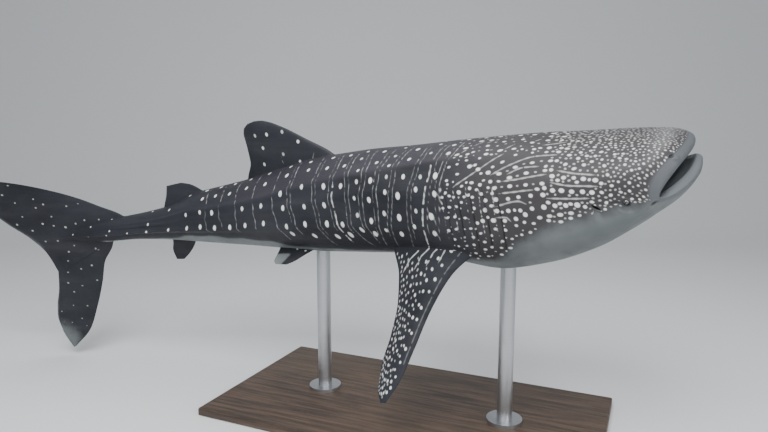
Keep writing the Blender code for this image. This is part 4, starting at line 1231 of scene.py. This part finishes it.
def build_eye(name, side):
    """A smooth eyeball with a raised cornea in place of a faceted one."""
    low, high = (np.array(corner, float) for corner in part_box(name))
    radius = (high - low).max() / 2
    y, z = section(*EYE)
    inner, outer = (bend(EYE[0], share * side * y, z) for share in (0.6, 1.0))
    axis = (outer - inner) / np.linalg.norm(outer - inner)
    over = np.cross(axis, (0, 0, 1))
    over /= np.linalg.norm(over)
    tilt = np.linspace(0.02, math.pi - 0.02, 60)[:, None]
    turn = np.linspace(0, 2 * math.pi, 73)[None, :-1]
    size = radius * (1 - CORNEA + CORNEA * np.exp(-((tilt / 0.55) ** 2)))
    ring = np.sin(tilt) * size
    grid = (low + high) / 2 + (np.cos(tilt) * size)[..., None] * axis
    grid = grid + (ring * np.cos(turn))[..., None] * over
    grid = grid + (ring * np.sin(turn))[..., None] * np.cross(over, axis)
    aside = np.broadcast_to(np.where(tilt < math.pi / 2, np.sin(tilt), 1.0), grid.shape[:2])
    rays = np.broadcast_to(np.sin(9 * turn + 5 * np.sin(2 * turn)) * 0.5 + 0.5, grid.shape[:2])
    ball = grid_mesh("ball_" + name, grid, (aside, rays), 0)
    ball.data.shade_smooth()
    ball.data.materials.append(eye_material())
    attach(ball, "root")
    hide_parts(name)


def dress_stand():
    """Give the stand its wood and steel."""
    wood, steel = wood_material(), steel_material()
    for name, finish in (("stand_base", wood), ("stand_rod_front", steel), ("stand_rod_rear", steel)):
        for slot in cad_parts[name].material_slots:
            slot.material = finish


def build_floor():
    """A pale floor that sweeps up into a backdrop."""
    profile = [(FLOOR_FRONT, 0.0), (FLOOR_BACK, 0.0)]
    for turn in np.linspace(0, math.pi / 2, 17)[1:]:
        profile.append((FLOOR_BACK + SWEEP * math.sin(turn), SWEEP - SWEEP * math.cos(turn)))
    profile.append((FLOOR_BACK + SWEEP, BACKDROP_TOP))
    mesh = bpy.data.meshes.new("floor")
    points = [(x, y, z) for y, z in profile for x in (-FLOOR_HALF, FLOOR_HALF)]
    mesh.from_pydata(points, [], [(k, k + 1, k + 3, k + 2) for k in range(0, len(points) - 2, 2)])
    mesh.shade_smooth()
    mesh.materials.append(Tree("pale_floor").surface((0.72, 0.73, 0.74), 0.7))
    floor = put_in_scene("floor", mesh)
    floor.rotation_euler = (0, 0, CAMERA_TURN)


def build_lights():
    """Soft lamps and an even, faintly blue sky."""
    for name, (place, aim, size, strength) in LAMPS.items():
        lamp = bpy.data.lights.new(name, "AREA")
        lamp.size = size
        lamp.energy = strength
        made = put_in_scene(name, lamp)
        made.location = place
        made.rotation_euler = (Vector(aim) - Vector(place)).to_track_quat("-Z", "Y").to_euler()
    world = bpy.data.worlds.new("world")
    bpy.context.scene.world = world
    world.use_nodes = True
    for socket, value in zip(world.node_tree.nodes["Background"].inputs, SKY):
        socket.default_value = value


def build_camera():
    """The camera, as it stood to the animal."""
    lens = bpy.data.cameras.new("camera")
    lens.sensor_width = 36
    lens.lens = CAMERA_LENS
    c, s = math.cos(CAMERA_TURN), math.sin(CAMERA_TURN)
    right = Vector((c, s, 0))
    back = Vector((s * math.cos(CAMERA_TILT), -c * math.cos(CAMERA_TILT), math.sin(CAMERA_TILT)))
    matrix = Matrix((right, back.cross(right), back)).transposed().to_4x4()
    matrix.translation = Vector(CAMERA_PLACE)
    camera = put_in_scene("camera", lens)
    camera.matrix_world = matrix
    bpy.context.scene.camera = camera


def main():
    """Build the skin, the eyes, the stand's finish and the stage."""
    skin = build_skin()
    relax_seams(skin.data)
    skin.data.materials.clear()
    skin.data.materials.append(skin_material())
    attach(skin, "root")
    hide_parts(*FLESH)
    for name, side in (("eye_right", -1), ("eye_left", 1)):
        build_eye(name, side)
    dress_stand()
    build_floor()
    build_lights()
    build_camera()


main()
